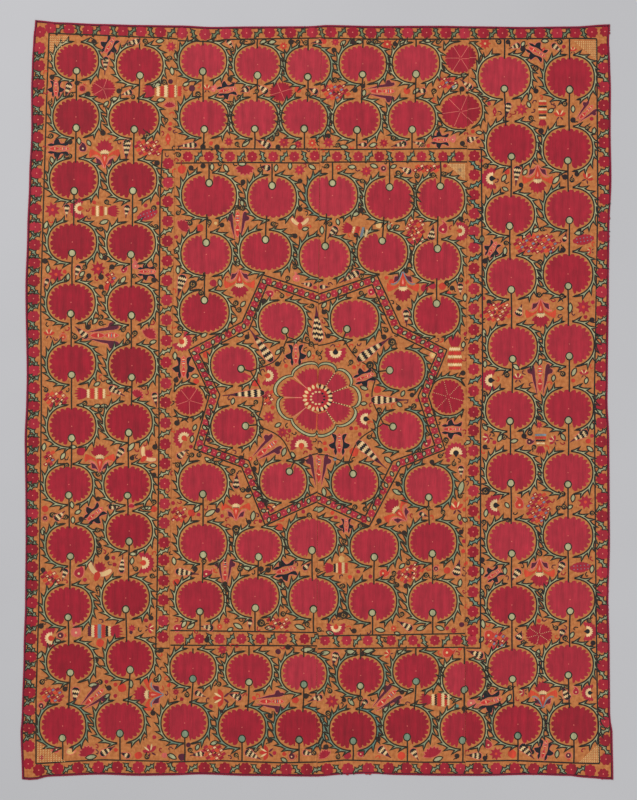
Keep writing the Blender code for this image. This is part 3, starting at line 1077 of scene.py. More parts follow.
# Outer border flowers along the top, left to right: x, y.
TOP_FLOWERS = (
    (40.0, 32.0), (50.6, 28.0), (69.0, 29.5), (88.0, 30.5), (104.7, 30.5), (123.0, 31.0), (141.0, 31.5),
    (160.5, 32.0), (182.0, 33.5), (205.0, 34.3), (226.0, 33.5), (246.7, 33.0), (269.5, 32.5), (290.6, 32.3),
    (312.3, 32.3), (331.0, 32.0), (352.7, 32.3), (371.0, 32.5), (389.4, 32.5), (407.8, 32.5), (426.6, 32.6),
    (446.0, 32.6), (464.4, 32.7), (483.3, 33.0), (502.5, 33.2), (521.0, 33.2), (539.8, 33.2), (557.3, 33.0),
    (575.0, 32.8), (592.0, 32.0), (605.0, 31.5),
)
LEFT_FLOWER_LINE = (
    (39.5, 49.0), (38.5, 100.0), (36.0, 200.0), (33.5, 300.0), (34.0, 400.0), (32.6, 500.0), (32.0, 600.0),
    (29.5, 700.0), (28.8, 752.0),
)
RIGHT_FLOWER_LINE = (
    (603.5, 52.0), (604.5, 200.0), (601.5, 300.0), (601.0, 400.0), (602.6, 540.0), (602.5, 600.0),
    (603.5, 700.0), (606.0, 752.0),
)
BOTTOM_FLOWER_LINE = (
    (29.0, 770.8), (60.0, 768.6), (100.0, 767.2), (200.0, 768.0), (300.0, 769.6), (400.0, 768.4),
    (500.0, 768.6), (570.0, 769.4), (606.0, 771.5),
)
# How far down the left and right sides the flowers are, and how far along the bottom.
LEFT_FLOWERS = [48.0 + 17.9 * number for number in range(40)]
RIGHT_FLOWERS = [49.3 + 18.68 * number for number in range(39)]
BOTTOM_FLOWERS = (
    38.8, 57.7, 78.0, 98.4, 117.3, 138.3, 160.8, 181.8, 204.2, 224.7, 245.2, 265.7, 286.3, 306.8, 327.3,
    347.8, 368.3, 388.8, 406.3, 426.3, 444.6, 460.5, 477.3, 496.4, 514.8, 533.9, 551.4, 571.4, 590.0,
)


LEAF_REACH_SIDES, LEAF_REACH_BOTTOM = 5.6, 4.5  # of a leaf, to each side of the line of flowers
LEAF_LEAN = 4.6  # how far along the border it leans each way
LEFT_SIDE = 60  # chart x: the left border is nearer the edge than this


def outer_border():
    for line in OUTER_LINES:
        chart_line(line, ink_tone(line[0][0] + 1))
    flowers = list(TOP_FLOWERS)
    for (x, y), (next_x, next_y) in zip(flowers, flowers[1:]):
        rosette(x, y, 6.2, 0.3 + 0.5 * rng.random())
        if next_x - x > 14:
            lean = 3.4 if flowers.index((x, y)) % 2 else -3.4
            middle_x, middle_y = (x + next_x) / 2, (y + next_y) / 2
            border_leaf(middle_x - lean, middle_y + 6.0, middle_x + lean, middle_y - 5.3, 0.95, ink_tone(x))
    rosette(*flowers[-1], 5.6, 0.5)
    for line, flowers, axis in (
        (LEFT_FLOWER_LINE, LEFT_FLOWERS, 1),
        (RIGHT_FLOWER_LINE, RIGHT_FLOWERS, 1),
        (BOTTOM_FLOWER_LINE, BOTTOM_FLOWERS, 0),
    ):
        line = np.array(line)
        way = np.array((0.0, 1.0)) if axis else np.array((1.0, 0.0))
        for number, at in enumerate(flowers):
            place = way * at + way[::-1] * np.interp(at, line[:, axis], line[:, 1 - axis])
            rosette(*place, 6.4, 0.15 + 0.6 * rng.random())
            if number + 1 == len(flowers):
                break
            middle = place + way * (flowers[number + 1] - at) / 2
            across = np.array((way[1], -way[0])) * (LEAF_REACH_SIDES if axis else LEAF_REACH_BOTTOM)
            lean = way * (LEAF_LEAN if number % 2 else -LEAF_LEAN)
            root, tip = middle - across - lean, middle + across + lean
            on_left = axis and middle[0] < LEFT_SIDE
            tone = 0.3 if on_left else 0.2 if axis else 0.25
            border_leaf(*root, *tip, tone, ink_tone(middle[0]))
            if on_left:
                root, tip = middle - across + 0.9 * lean, middle + 0.3 * across + 0.2 * lean
                border_leaf(*root, *tip, 0.3, ink_tone(middle[0]), fatness=0.55)
    rosette(28.2, 763.8, 6.0, 0.4)
    rosette(603.3, 774.0, 5.8, 0.4)


MIDDLE_SEAM_X = 318
STAR_X, STAR_Y = 318.5, 398.5

# The inner border: its outer line and inner line, by panel.
INNER_LINES = (
    ((162.3, 149.8), (160.0, 200.0), (159.0, 330.0), (159.0, 440.0), (157.0, 600.0), (155.7, 651.0)),
    ((162.3, 149.8), (175.0, 150.0)), ((175.6, 150.0), (240.0, 149.6), (319.6, 149.8)),
    ((175.7, 163.8), (250.0, 163.2), (319.6, 163.8)), ((320.4, 149.6), (400.0, 149.2), (467.0, 148.5)),
    ((320.4, 162.2), (400.0, 161.6), (467.0, 161.9)),
    ((467.6, 149.2), (481.4, 149.6), (482.5, 330.0), (482.5, 400.0), (480.5, 430.0), (480.5, 648.4)),
    ((156.0, 648.3), (169.6, 648.3)), ((170.4, 631.2), (240.0, 632.0), (317.0, 633.3)),
    ((170.4, 645.9), (240.0, 646.2), (317.0, 646.6)), ((317.8, 636.0), (390.0, 634.8), (465.0, 633.5)),
    ((317.8, 648.8), (390.0, 648.0), (465.0, 647.3)), ((465.8, 648.0), (480.5, 648.2)),
)
LEFT_INNER_FLOWERS = (
    163.4, 182.3, 201.4, 221.0, 241.0, 260.7, 280.5, 300.0, 320.0, 340.6, 362.3, 383.3, 402.4, 423.0, 444.0,
    463.6, 483.6, 503.7, 523.0, 542.5, 560.0, 580.7, 600.0, 620.8, 637.0,
)
RIGHT_INNER_FLOWERS = (
    156.0, 175.0, 195.0, 213.5, 231.4, 247.3, 268.4, 288.9, 308.9, 329.7, 348.9, 369.3, 391.0, 412.0, 430.5,
    450.8, 470.8, 490.9, 511.0, 531.8, 551.9, 571.3, 592.0, 611.5, 630.9,
)
TOP_INNER_FLOWERS = (
    187.8, 208.9, 230.0, 252.2, 273.3, 294.3, 314.7, 337.0, 358.3, 379.3, 399.7, 421.4, 443.0, 459.3,
)
BOTTOM_INNER_FLOWERS = (
    179.0, 199.4, 219.6, 241.4, 260.3, 282.0, 304.5, 325.0, 346.6, 367.7, 391.0, 413.0, 434.8, 456.7, 472.0,
)


def inner_border():
    for line in INNER_LINES:
        chart_line(line, ink_tone(line[0][0] + 1))
    for flowers, x, edge, way, tone in (
        (LEFT_INNER_FLOWERS, 168.2, 161.2, 12.6, 0.1), (RIGHT_INNER_FLOWERS, 474.3, 481.4, -12.6, 0.42),
    ):
        for number, y in enumerate(flowers):
            drift = (y - 163) * 0.011 if way > 0 else (y - 163) * 0.003
            rosette(x - drift, y, 6.0, 0.25 + 0.6 * rng.random())
            if number + 1 < len(flowers):
                middle = (y + flowers[number + 1]) / 2
                lean = 4.4 if (number % 2 == 0) == (way < 0) else -4.4
                border_leaf(edge - drift, middle + lean, edge - drift + way, middle - lean, tone, ink_tone(x))
    for flowers, level in ((TOP_INNER_FLOWERS, 156.6), (BOTTOM_INNER_FLOWERS, 639.6)):
        for number, x in enumerate(flowers):
            step = 0.0 if level < STAR_Y else -0.8 if x < MIDDLE_SEAM_X else 0.8
            y = level + step
            rosette(x, y, 5.5, 0.35 + 0.5 * rng.random())
            if number + 1 < len(flowers) and flowers[number + 1] - x > 15:
                middle = (x + flowers[number + 1]) / 2
                up = number % 2 == 0
                lean = 3.2 if up else -3.2
                border_leaf(middle - lean, y + 6.0, middle + lean, y - 6.0, 0.3, 0.25)


# The star round the centre: its outer line's points, then the notches between them, clockwise.
STAR_POINTS = (
    (262.4, 275.4), (376.8, 274.6), (447.0, 350.0), (445.0, 449.6), (369.6, 525.8), (265.3, 525.4),
    (193.8, 449.0), (188.7, 350.0),
)
STAR_NOTCHES = (
    (319.2, 293.9), (400.6, 325.8), (428.4, 396.2), (400.6, 467.4), (317.0, 501.8), (241.6, 467.0),
    (209.6, 394.4), (242.0, 322.0),
)


def star_ring(shrink_points, shrink_notches):
    """The star's outline, drawn in towards its middle by these shares."""
    centre = np.array((STAR_X, STAR_Y))
    ring = []
    for point, notch in zip(STAR_POINTS, STAR_NOTCHES):
        ring.append(centre + (np.array(point) - centre) * shrink_points)
        ring.append(centre + (np.array(notch) - centre) * shrink_notches)
    return ring + [ring[0]]


STAR_SIDE_FLOWERS = 5


def star_border():
    outer = star_ring(1.0, 1.0)
    inner = star_ring(0.92, 0.906)
    for ring in (outer, inner):
        for start, end in zip(ring, ring[1:]):
            chart_line((start, (start + end) / 2, end), 0.3, 1.6)
    middle = star_ring(0.961, 0.955)
    for start, end in zip(middle, middle[1:]):
        way = (end - start) / np.linalg.norm(end - start)
        heading = -math.degrees(math.atan2(way[1], way[0]))
        for number in range(STAR_SIDE_FLOWERS):
            flower = start + (end - start) * (number + 0.35) / STAR_SIDE_FLOWERS
            rosette(*flower, 4.1, 0.5 + 0.4 * rng.random(), lobes=6)
            bud = start + (end - start) * (number + 0.85) / STAR_SIDE_FLOWERS
            leaf(*bud, heading + 60, 5.2, 0.1, 0.4)


# The vine that ties the star's buttons together, on the chart.
VINE = (
    (287.5, 338.0), (315.0, 345.0), (343.0, 339.0), (357.0, 358.0), (378.0, 371.5), (372.0, 397.0),
    (383.3, 423.5), (359.0, 440.0), (348.3, 463.0), (321.0, 454.0), (294.0, 462.4), (281.0, 438.0),
    (256.3, 424.8), (263.0, 397.0), (250.5, 371.2), (276.0, 360.0), (287.5, 338.0),
)


def vine():
    for start in range(0, len(VINE) - 1, 2):
        arc = curve(np.array(VINE[start : start + 3]) * (1, -1), 7)
        Motif(0, 0, tone=0.2).line("outline", arc, 1.35)


# Small fillers, on the chart: where each dark curl sits.
CURLS = (
    (94, 42), (145, 41), (52, 77), (77, 83), (71, 95), (88, 94), (50, 103), (119, 91), (133, 97), (164, 82),
    (170, 58), (198, 94), (166, 120), (103, 133), (51, 136), (70, 142), (70, 156), (157, 163), (191, 168),
    (242, 42), (253, 42), (232, 50), (291, 42), (298, 42), (306, 43), (353, 42), (369, 42), (375, 42),
    (395, 44), (334, 50), (230, 79), (239, 97), (232, 104), (257, 91), (308, 94), (335, 80), (355, 90),
    (363, 86), (203, 147), (217, 147), (237, 144), (277, 134), (272, 139), (278, 147), (328, 136),
    (338, 145), (393, 138), (203, 166), (220, 164), (260, 170), (300, 181), (327, 166), (362, 181),
    (398, 173), (417, 176), (243, 182), (438, 42), (499, 42), (508, 42), (523, 49), (560, 42), (462, 89),
    (434, 91), (438, 127), (423, 145), (536, 68), (536, 91), (531, 118), (541, 131), (565, 104), (573, 120),
    (587, 128), (521, 185), (565, 177), (572, 180), (577, 174), (486, 166), (154, 208), (101, 229),
    (156, 227), (178, 213), (190, 223), (209, 222), (45, 261), (85, 267), (105, 258), (112, 267),
    (101, 277), (134, 276), (155, 265), (154, 280), (101, 287), (104, 293), (101, 317), (88, 327),
    (75, 337), (123, 330), (135, 333), (128, 342), (46, 390), (126, 389), (85, 403), (100, 410), (202, 278),
    (180, 328), (195, 339), (176, 380), (237, 207), (243, 208), (300, 209), (222, 225), (273, 224),
    (295, 267), (236, 303), (239, 310), (282, 296), (264, 301), (312, 306), (324, 312), (330, 224),
    (295, 236), (433, 175), (443, 174), (361, 210), (461, 219), (356, 235), (351, 268), (406, 271),
    (361, 276), (447, 283), (452, 288), (461, 280), (361, 293), (376, 300), (506, 243), (485, 261),
    (542, 229), (563, 250), (540, 262), (489, 302), (539, 295), (562, 296), (592, 320), (507, 375),
    (563, 374), (485, 394), (201, 293), (307, 339), (311, 344), (247, 337), (282, 349), (263, 362),
    (256, 402), (253, 415), (261, 431), (320, 450), (177, 423), (186, 418), (192, 455), (199, 455),
    (178, 465), (216, 463), (233, 471), (241, 458), (256, 463), (254, 469), (155, 447), (154, 475),
    (302, 461), (355, 351), (328, 336), (386, 330), (384, 337), (351, 362), (412, 395), (414, 406),
    (379, 410), (369, 437), (420, 450), (427, 434), (463, 373), (446, 440), (440, 456), (454, 464),
    (432, 462), (485, 447), (504, 437), (67, 465), (132, 458), (98, 474), (52, 515), (66, 517), (81, 519),
    (98, 499), (154, 502), (97, 530), (98, 539), (99, 546), (99, 552), (43, 570), (136, 569), (152, 576),
    (98, 588), (41, 626), (151, 618), (42, 682), (65, 689), (100, 682), (49, 704), (153, 713), (147, 757),
    (161, 650), (187, 695), (219, 684), (221, 712), (190, 750), (225, 584), (226, 590), (343, 586),
    (340, 615), (402, 614), (283, 614), (307, 624), (319, 629), (288, 647), (222, 656), (362, 654),
    (306, 696), (330, 691), (344, 700), (360, 698), (402, 692), (270, 716), (328, 713), (270, 740),
    (378, 739), (326, 747), (236, 755), (255, 750), (314, 753), (338, 757), (406, 586), (397, 585),
    (487, 587), (467, 620), (541, 591), (589, 621), (556, 628), (565, 638), (593, 643), (523, 642),
    (488, 687), (454, 699), (464, 708), (488, 714), (440, 718), (567, 687), (510, 688), (485, 758),
    (532, 752), (457, 756), (204, 561), (195, 569), (240, 569), (261, 569), (268, 570), (281, 581),
    (249, 522), (309, 515), (248, 490), (243, 490), (460, 496), (402, 476), (398, 484), (355, 507),
    (365, 509), (379, 521), (360, 526), (344, 541), (404, 533), (443, 512), (428, 508), (461, 532),
    (408, 563), (394, 573), (392, 578), (434, 578), (426, 575), (484, 490), (484, 522), (482, 560),
    (508, 520), (524, 436), (530, 433), (534, 447), (563, 494), (558, 508), (564, 507), (592, 513),
    (540, 554), (540, 591), (539, 418), (448, 560), (113, 504), (109, 688), (156, 680), (96, 660),
    (207, 640), (386, 640),
)
BIG_CURLS = (
    (193, 284), (392, 342), (370, 365), (261, 623), (265, 502), (236, 529), (147, 136), (486, 491),
    (344, 615),
)
# Outlined leaves: x, y, the way each points in degrees, and its length in chart steps.
LEAVES = (
    (160, 41, 10, 8), (156, 85, 10, 10), (161, 100, 10, 8), (114, 99, 15, 8), (106, 104, 50, 7),
    (172, 71, 100, 8), (176, 56, 100, 7), (186, 84, 30, 7), (79, 141, -80, 7), (52, 160, 110, 7),
    (263, 42, 30, 7), (272, 42, 10, 8), (343, 43, 45, 7), (359, 42, 0, 7), (402, 43, 50, 7),
    (364, 93, 80, 7), (416, 91, 45, 8), (246, 143, 45, 10), (293, 147, 20, 7), (344, 147, -10, 8),
    (373, 145, 20, 8), (212, 167, 90, 7), (226, 168, -60, 8), (242, 164, 0, 8), (276, 168, 80, 7),
    (290, 166, 90, 7), (312, 167, -30, 8), (352, 167, 0, 8), (374, 166, -20, 8), (427, 41, 0, 7),
    (523, 44, 60, 6), (545, 41, 0, 7), (455, 87, 45, 8), (464, 75, 0, 7), (530, 97, 80, 8),
    (573, 109, 90, 7), (556, 180, 50, 10), (594, 131, 80, 7), (504, 178, 60, 8), (74, 201, 20, 7),
    (104, 222, 20, 9), (135, 210, 60, 7), (46, 225, 70, 8), (48, 269, 85, 8), (68, 277, 85, 7),
    (82, 274, 50, 7), (101, 256, 110, 7), (123, 280, 55, 8), (95, 321, 50, 8), (128, 336, 90, 7),
    (153, 342, 20, 7), (97, 384, 30, 7), (109, 382, 150, 7), (97, 406, 10, 7), (104, 406, 0, 7),
    (178, 270, 90, 8), (177, 250, 60, 8), (178, 335, 20, 7), (175, 356, 90, 8), (195, 376, 0, 7),
    (322, 230, 90, 8), (242, 203, 100, 7), (238, 262, 90, 8), (243, 304, 50, 7), (234, 320, 45, 8),
    (324, 305, 50, 7), (220, 283, 100, 8), (356, 214, 25, 8), (389, 226, 80, 8), (396, 227, 20, 7),
    (465, 297, 90, 8), (482, 239, 90, 8), (505, 251, 85, 8), (536, 230, 30, 7), (579, 233, 5, 9),
    (570, 308, 85, 10), (484, 333, 90, 8), (540, 362, 70, 7), (516, 367, -40, 8), (574, 372, 65, 9),
    (240, 335, 10, 7), (278, 352, 45, 7), (309, 354, 80, 7), (278, 425, 30, 7), (284, 452, 70, 9),
    (293, 455, 120, 7), (208, 460, -40, 8), (192, 439, 80, 7), (204, 335, 30, 7), (364, 388, -20, 8),
    (388, 460, -40, 9), (485, 364, 90, 7), (485, 427, -60, 8), (500, 438, 60, 8), (44, 447, 80, 8),
    (63, 456, 60, 8), (73, 447, 0, 7), (131, 447, 50, 11), (78, 512, 30, 7), (73, 520, 90, 7),
    (72, 505, 100, 7), (145, 508, 10, 7), (43, 531, 80, 8), (133, 554, 0, 7), (132, 561, 80, 7),
    (58, 641, -20, 7), (40, 655, 60, 8), (131, 684, 90, 8), (159, 678, 85, 8), (93, 685, 10, 9),
    (107, 696, 30, 7), (91, 757, 10, 11), (172, 757, -30, 10), (191, 626, 35, 9), (184, 624, 60, 8),
    (214, 743, 20, 8), (238, 626, -30, 10), (270, 628, 0, 10), (300, 627, -20, 11), (380, 630, -10, 10),
    (330, 633, -20, 8), (308, 650, 0, 14), (325, 653, 10, 10), (351, 652, -10, 12), (369, 651, 5, 12),
    (402, 652, 0, 10), (410, 691, 30, 8), (351, 702, -50, 9), (386, 709, 50, 7), (284, 760, -30, 7),
    (322, 719, 90, 9), (321, 741, 70, 9), (460, 583, 80, 8), (483, 624, 100, 9), (482, 595, 70, 8),
    (488, 612, 110, 8), (538, 653, 75, 8), (572, 635, 60, 7), (509, 698, 60, 8), (438, 759, 20, 10),
    (557, 754, 80, 8), (421, 628, 20, 10), (440, 628, -20, 9), (253, 516, 80, 10), (197, 509, 50, 8),
    (210, 513, 30, 12), (247, 568, -20, 9), (174, 561, 100, 8), (319, 509, 20, 12), (283, 585, 90, 7),
    (324, 492, 100, 9), (397, 492, -30, 10), (461, 488, 75, 15), (342, 549, 70, 8), (402, 566, 40, 7),
    (482, 593, 100, 8), (505, 571, 90, 8), (482, 571, 90, 8), (514, 441, 15, 8), (563, 437, -60, 8),
    (590, 449, -40, 8), (573, 498, 80, 8), (570, 507, 30, 6), (486, 513, 80, 8), (592, 569, 80, 8),
    (592, 426, 90, 7), (148, 508, 0, 7),
)
# Striped buds: where the round head is, where the tail ends, and the head's width.
PEPPERS = (
    (138, 41, 122, 45.5, 6), (106, 58.5, 104.6, 75, 6), (69.5, 84, 65, 98, 7), (131, 92, 121, 95, 6),
    (127, 141.5, 126, 162, 8), (195, 145, 177, 146, 6), (228, 40.5, 234, 49, 5), (321, 42, 311, 43, 5),
    (248, 89, 240, 92, 6), (266.5, 92, 257, 84, 7), (317, 92, 308, 88, 6), (269, 146, 255, 139, 7),
    (366, 144.5, 356, 145, 5), (405, 143.5, 391, 146.5, 6), (423, 145, 412, 141.5, 5),
    (269.5, 168.5, 260, 166, 7), (410, 172, 399.5, 167, 7), (519, 45, 509, 48.5, 6),
    (553, 45, 562.5, 52, 6), (470.5, 88, 460, 79, 6), (425, 90.5, 416, 92, 6), (468, 140.5, 479, 137, 7),
    (508.6, 104, 506.5, 117, 7), (517.6, 168, 515.5, 186, 8), (67, 205.5, 66.5, 217.5, 6),
    (127.3, 206.3, 125.6, 218, 6), (47.7, 279.5, 44, 288, 5), (78.6, 266.6, 75, 279, 6),
    (86.3, 336.8, 75, 326.3, 7), (110.8, 388, 125, 396.4, 7), (154.3, 394, 156.6, 407, 6),
    (182.7, 277, 177.5, 297, 9), (335.8, 228, 327.5, 238.4, 7), (311, 285, 301, 283, 5),
    (320.5, 287, 330, 287, 5), (431, 238.4, 433.5, 225, 8), (357, 273, 339, 283, 7),
    (460.3, 284.5, 460.3, 295, 6), (406, 311.5, 406.5, 326.5, 6.5), (564, 241, 566.5, 232, 5),
    (518, 314.7, 522, 304.5, 8), (318.1, 338, 316.2, 307, 11.5), (269.7, 358, 249, 328, 9),
    (260, 393, 223, 395.4, 8), (361, 358, 392, 336.5, 9), (375, 400, 408.5, 400, 8.5),
    (360, 444, 386, 468.5, 9), (178.5, 457, 187, 449.5, 7), (461, 467, 461, 478, 6),
    (122, 449.5, 115, 461.5, 7), (56, 519, 65, 511, 7), (110, 507, 124.5, 505, 6), (66, 570, 62, 581, 6),
    (121.5, 571, 123, 554, 6), (76, 689, 74, 704, 8), (102, 754, 115, 746, 7), (196, 692.5, 205.5, 697, 6),
    (212, 628, 200, 626, 6.5), (203, 753.5, 190, 755.5, 6), (129, 756.5, 120, 752.5, 6),
    (240, 698, 227, 693, 7), (247, 752, 261, 759.5, 8), (304, 752, 314, 755, 6),
    (321, 696.5, 308, 701.5, 6), (336, 653.5, 332.5, 666, 7), (410.5, 628.5, 397, 620.5, 7),
    (380, 748.5, 391, 758, 8), (412.5, 750, 418.5, 760.5, 7), (366.5, 700.5, 360.5, 707, 6),
    (250.5, 620, 249, 629.5, 5), (481.5, 656, 467, 650.5, 8), (518, 639, 522, 631, 8),
    (563, 630, 560, 638, 7), (568, 698, 561.5, 685.5, 8), (480, 756, 466, 755, 7.5),
    (522, 746, 534, 759, 9), (236, 487, 237, 472.5, 7), (178, 571.5, 199, 574.5, 7.5),
    (304, 569, 311, 562.5, 6), (456, 574, 460, 560, 8.5), (420, 513.5, 428, 516.5, 5),
    (586, 432.5, 570, 442, 8), (518.8, 570.5, 511.5, 581, 8), (563, 563.5, 556.5, 576, 7),
)
# Irises: x, y, turn, size, wing colour.
IRISES = (
    (109.7, 45.3, 60, 0.85, "outline"), (56, 88, 90, 0.75, "outline"), (59.3, 148.6, 0, 0.95, "outline"),
    (227.4, 90, 10, 0.85, "outline"), (536.9, 51.9, -30, 0.9, "outline"), (440.8, 139.8, 0, 0.8, "outline"),
    (183.6, 366.7, 90, 1.0, "outline"), (295.8, 354, 90, 0.95, "outline"), (364.8, 377, 20, 0.9, "outline"),
    (339.3, 443.3, 90, 0.95, "outline"), (452.9, 429.2, 0, 0.9, "outline"),
    (492.3, 248.8, 60, 0.75, "outline"), (94.9, 514, 40, 0.95, "outline"),
    (147.3, 271.6, 0, 0.8, "outline"), (286, 570, 15, 1.0, "outline"), (490.7, 701, 12, 1.05, "outline"),
    (544.3, 749.3, 75, 0.9, "outline"), (494, 574, 35, 0.8, "outline"), (382.4, 91.2, 0, 1.15, "plum"),
    (104.5, 335.4, 0, 1.35, "plum"), (237.6, 224.4, 90, 1.2, "plum"), (540, 377.8, 90, 1.3, "plum"),
    (267.1, 448.4, 38, 1.2, "plum"), (318.5, 468, 90, 1.3, "plum"), (586.1, 112.1, 45, 0.9, "plum"),
    (225, 570, 90, 1.05, "plum"), (94.2, 697, 40, 1.15, "plum"), (271.6, 701.4, 0, 1.15, "plum"),
    (386.6, 698.6, 40, 1.2, "plum"), (346.2, 525, 90, 0.65, "outline"),
)
# Palmettes: x, y, turn, size, colour of the arcs on the wings.
PALMETTES = (
    (104.6, 152.5, 0, 0.95, "pink"), (99.8, 457.2, 0, 0.95, "pink"), (537.6, 180.5, 180, 0.95, "pink"),
    (239.5, 285, 180, 0.95, "pink"), (402.9, 288.2, 180, 1.0, "leaf"), (540.7, 314.7, 180, 0.95, "pink"),
    (236, 506, 0, 0.9, "pink"), (395.7, 509.7, 45, 0.95, "pink"), (539.5, 574, 180, 0.95, "pink"),
    (542.8, 693, 0, 0.9, "leaf"), (147, 694.6, 90, 1.0, "leaf"),
)
# Tulips: x, y, turn, size, then their bars: how far along, colour, width, height.
TULIPS = (
    (149.2, 91.2, 0, 1.0, (
        (9.3, "cream", 3, 10), (13.6, "orange", 3.8, 10), (17.2, "cream", 3.5, 12),
        (22.5, "orange", 5.4, 13), (27, "cream", 2.4, 12), (31, "orange", 3.6, 10),
    )),
    (113, 211, 180, 0.9, (
        (8.5, "cream", 3, 9), (13.2, "orange", 4, 11), (17.8, "cream", 3, 12), (22.3, "orange", 4, 10),
    )),
    (81.4, 393.6, 0, 0.95, (
        (7.6, "cream", 2.6, 9), (11.8, "orange", 4, 11), (16, "cream", 2.8, 12), (20.4, "orange", 4, 12),
        (24.4, "cream", 2.6, 10),
    )),
    (347.4, 228.2, -15, 0.85, (
        (8, "cream", 2, 8), (12.5, "orange", 5, 11), (18.5, "leaf", 3, 12), (23.5, "cream", 3, 9),
    )),
    (454.8, 341.2, -90, 1.0, (
        (8.3, "cream", 3, 11), (12.4, "orange", 3.6, 13), (16, "cream", 2.6, 14), (20.2, "orange", 3.6, 15),
        (24, "cream", 2.6, 14), (27.4, "orange", 3, 12),
    )),
    (115.6, 631.2, 180, 1.0, (
        (6.6, "cream", 2.6, 10), (9.2, "outline", 2.6, 11), (12.6, "orange", 3.6, 13),
        (16.6, "leaf", 3.4, 14), (20.4, "orange", 3.2, 13), (23.2, "cream", 3, 12), (26.6, "plum", 3.4, 10),
    )),
    (328.7, 568, 0, 0.8, (
        (8, "outline", 2.6, 11), (10.6, "cream", 2.4, 12), (14.4, "orange", 4, 14),
        (18.6, "cream", 3.2, 14), (22.6, "orange", 3.4, 13),
    )),
    (425.7, 699.8, 0, 0.95, (
        (8.2, "cream", 3, 12), (11.2, "outline", 2, 12), (14.6, "orange", 4, 14), (18.6, "cream", 3.2, 14),
        (21.6, "orange", 2.4, 13), (24.4, "cream", 2.4, 12),
    )),
    (540.6, 450, 90, 0.7, (
        (10, "cream", 2.8, 12), (14, "outline", 2.8, 14), (18, "orange", 3.2, 16), (22, "leaf", 3, 16),
    )),
    (542.6, 123, 90, 0.62, (
        (9, "cream", 3, 12), (13, "outline", 3, 12), (18, "orange", 3.6, 13), (22.6, "cream", 3, 14),
        (27, "outline", 3, 14), (32, "orange", 4, 13), (36, "cream", 2.4, 12),
    )),
)
# Clusters: x, y, across, up, turn, whether their pale lozenges are grey-blue.
CLUSTERS = (
    (148.6, 148, 26, 17, 0, False), (336, 92, 26, 14, 0, True), (447.7, 83, 18, 12, 0, True),
    (415, 232, 17, 28, 0, False), (536.5, 243.8, 42, 20, 0, True), (497, 312, 26, 20, 0, False),
    (56, 399, 24, 14, 10, False), (49.3, 458.6, 11, 14, 0, True), (50.7, 578.5, 18, 14, 0, False),
    (420.8, 168.3, 12, 8, 0, False), (433, 168.3, 12, 9, 0, False), (110.8, 278.6, 10, 12, 0, True),
    (268.4, 398, 10, 14, 0, False), (52, 695, 22, 14, 0, True), (213.5, 752.6, 20, 14, 0, False),
    (278.6, 623.5, 24, 12, 0, False), (410.4, 573.3, 26, 14, 25, False), (496.7, 641.2, 24, 14, 20, True),
    (538.4, 507.7, 20, 30, 0, True), (178.9, 514.4, 15, 15, 0, False), (270.6, 509, 11, 8, 0, False),
)
# Half flowers: x, y, the way the fan opens, radius, whether the heart is dark.
HALF_FLOWERS = (
    (80, 208.4, 180, 8.6, False), (492, 178.5, 180, 9, True), (491, 380.3, 180, 9, True),
    (181.7, 341.7, -45, 8.6, False), (184.2, 438.2, 135, 9, False), (143.3, 562.8, 0, 9, False),
    (459.7, 230.8, 0, 8, False), (267.8, 375.7, -10, 8.6, False), (335.5, 352, -90, 9, True),
    (366, 419, 170, 8.6, True), (301.4, 445.8, 90, 9.4, False), (456, 453.2, 90, 9.4, True),
    (51, 638.2, 180, 9, False), (496, 505.3, 180, 9, True), (587.4, 631.4, 0, 8, True),
    (590, 692.8, 180, 7, True), (336, 627, -90, 8, False),
)
# Fans: x, y, the way each opens, across, up.
FANS = (
    (245, 170, -90, 10, 9), (150, 333, 60, 8, 9), (183.8, 225.3, 45, 8, 9), (86.5, 751, 110, 9, 9),
    (432, 752, 110, 10, 9), (324, 754, 120, 7, 7), (169.6, 104.6, 90, 6, 5), (138, 393.6, 60, 7, 7),
    (543, 583.5, -90, 7, 4), (131.4, 505.6, 90, 3.4, 4),
)
# Lilies: x, y, the way each opens, size, petal colour.
LILIES = (
    (559.8, 116, 90, 0.75, "orange"), (586.8, 179, 60, 0.75, "orange"), (572.9, 51, 90, 0.5, "orange"),
    (49, 335, 90, 0.7, "orange"), (584, 374.5, 90, 0.6, "crimson"), (518, 379, 90, 0.7, "crimson"),
    (223, 698, 180, 1.1, "orange"), (150.5, 752, 110, 0.9, "crimson"), (268, 752.6, 180, 0.95, "orange"),
    (456.5, 509, 100, 0.9, "orange"), (488.7, 437.6, 200, 0.7, "crimson"),
    (554.5, 441, 150, 0.65, "crimson"), (207, 89.5, 90, 0.6, "orange"), (148.5, 628.4, 0, 0.65, "crimson"),
    (524, 692, 180, 0.6, "crimson"), (389.4, 654.4, 160, 0.6, "orange"), (389, 225, 60, 0.45, "orange"),
    (591, 251, 180, 0.5, "orange"),
)
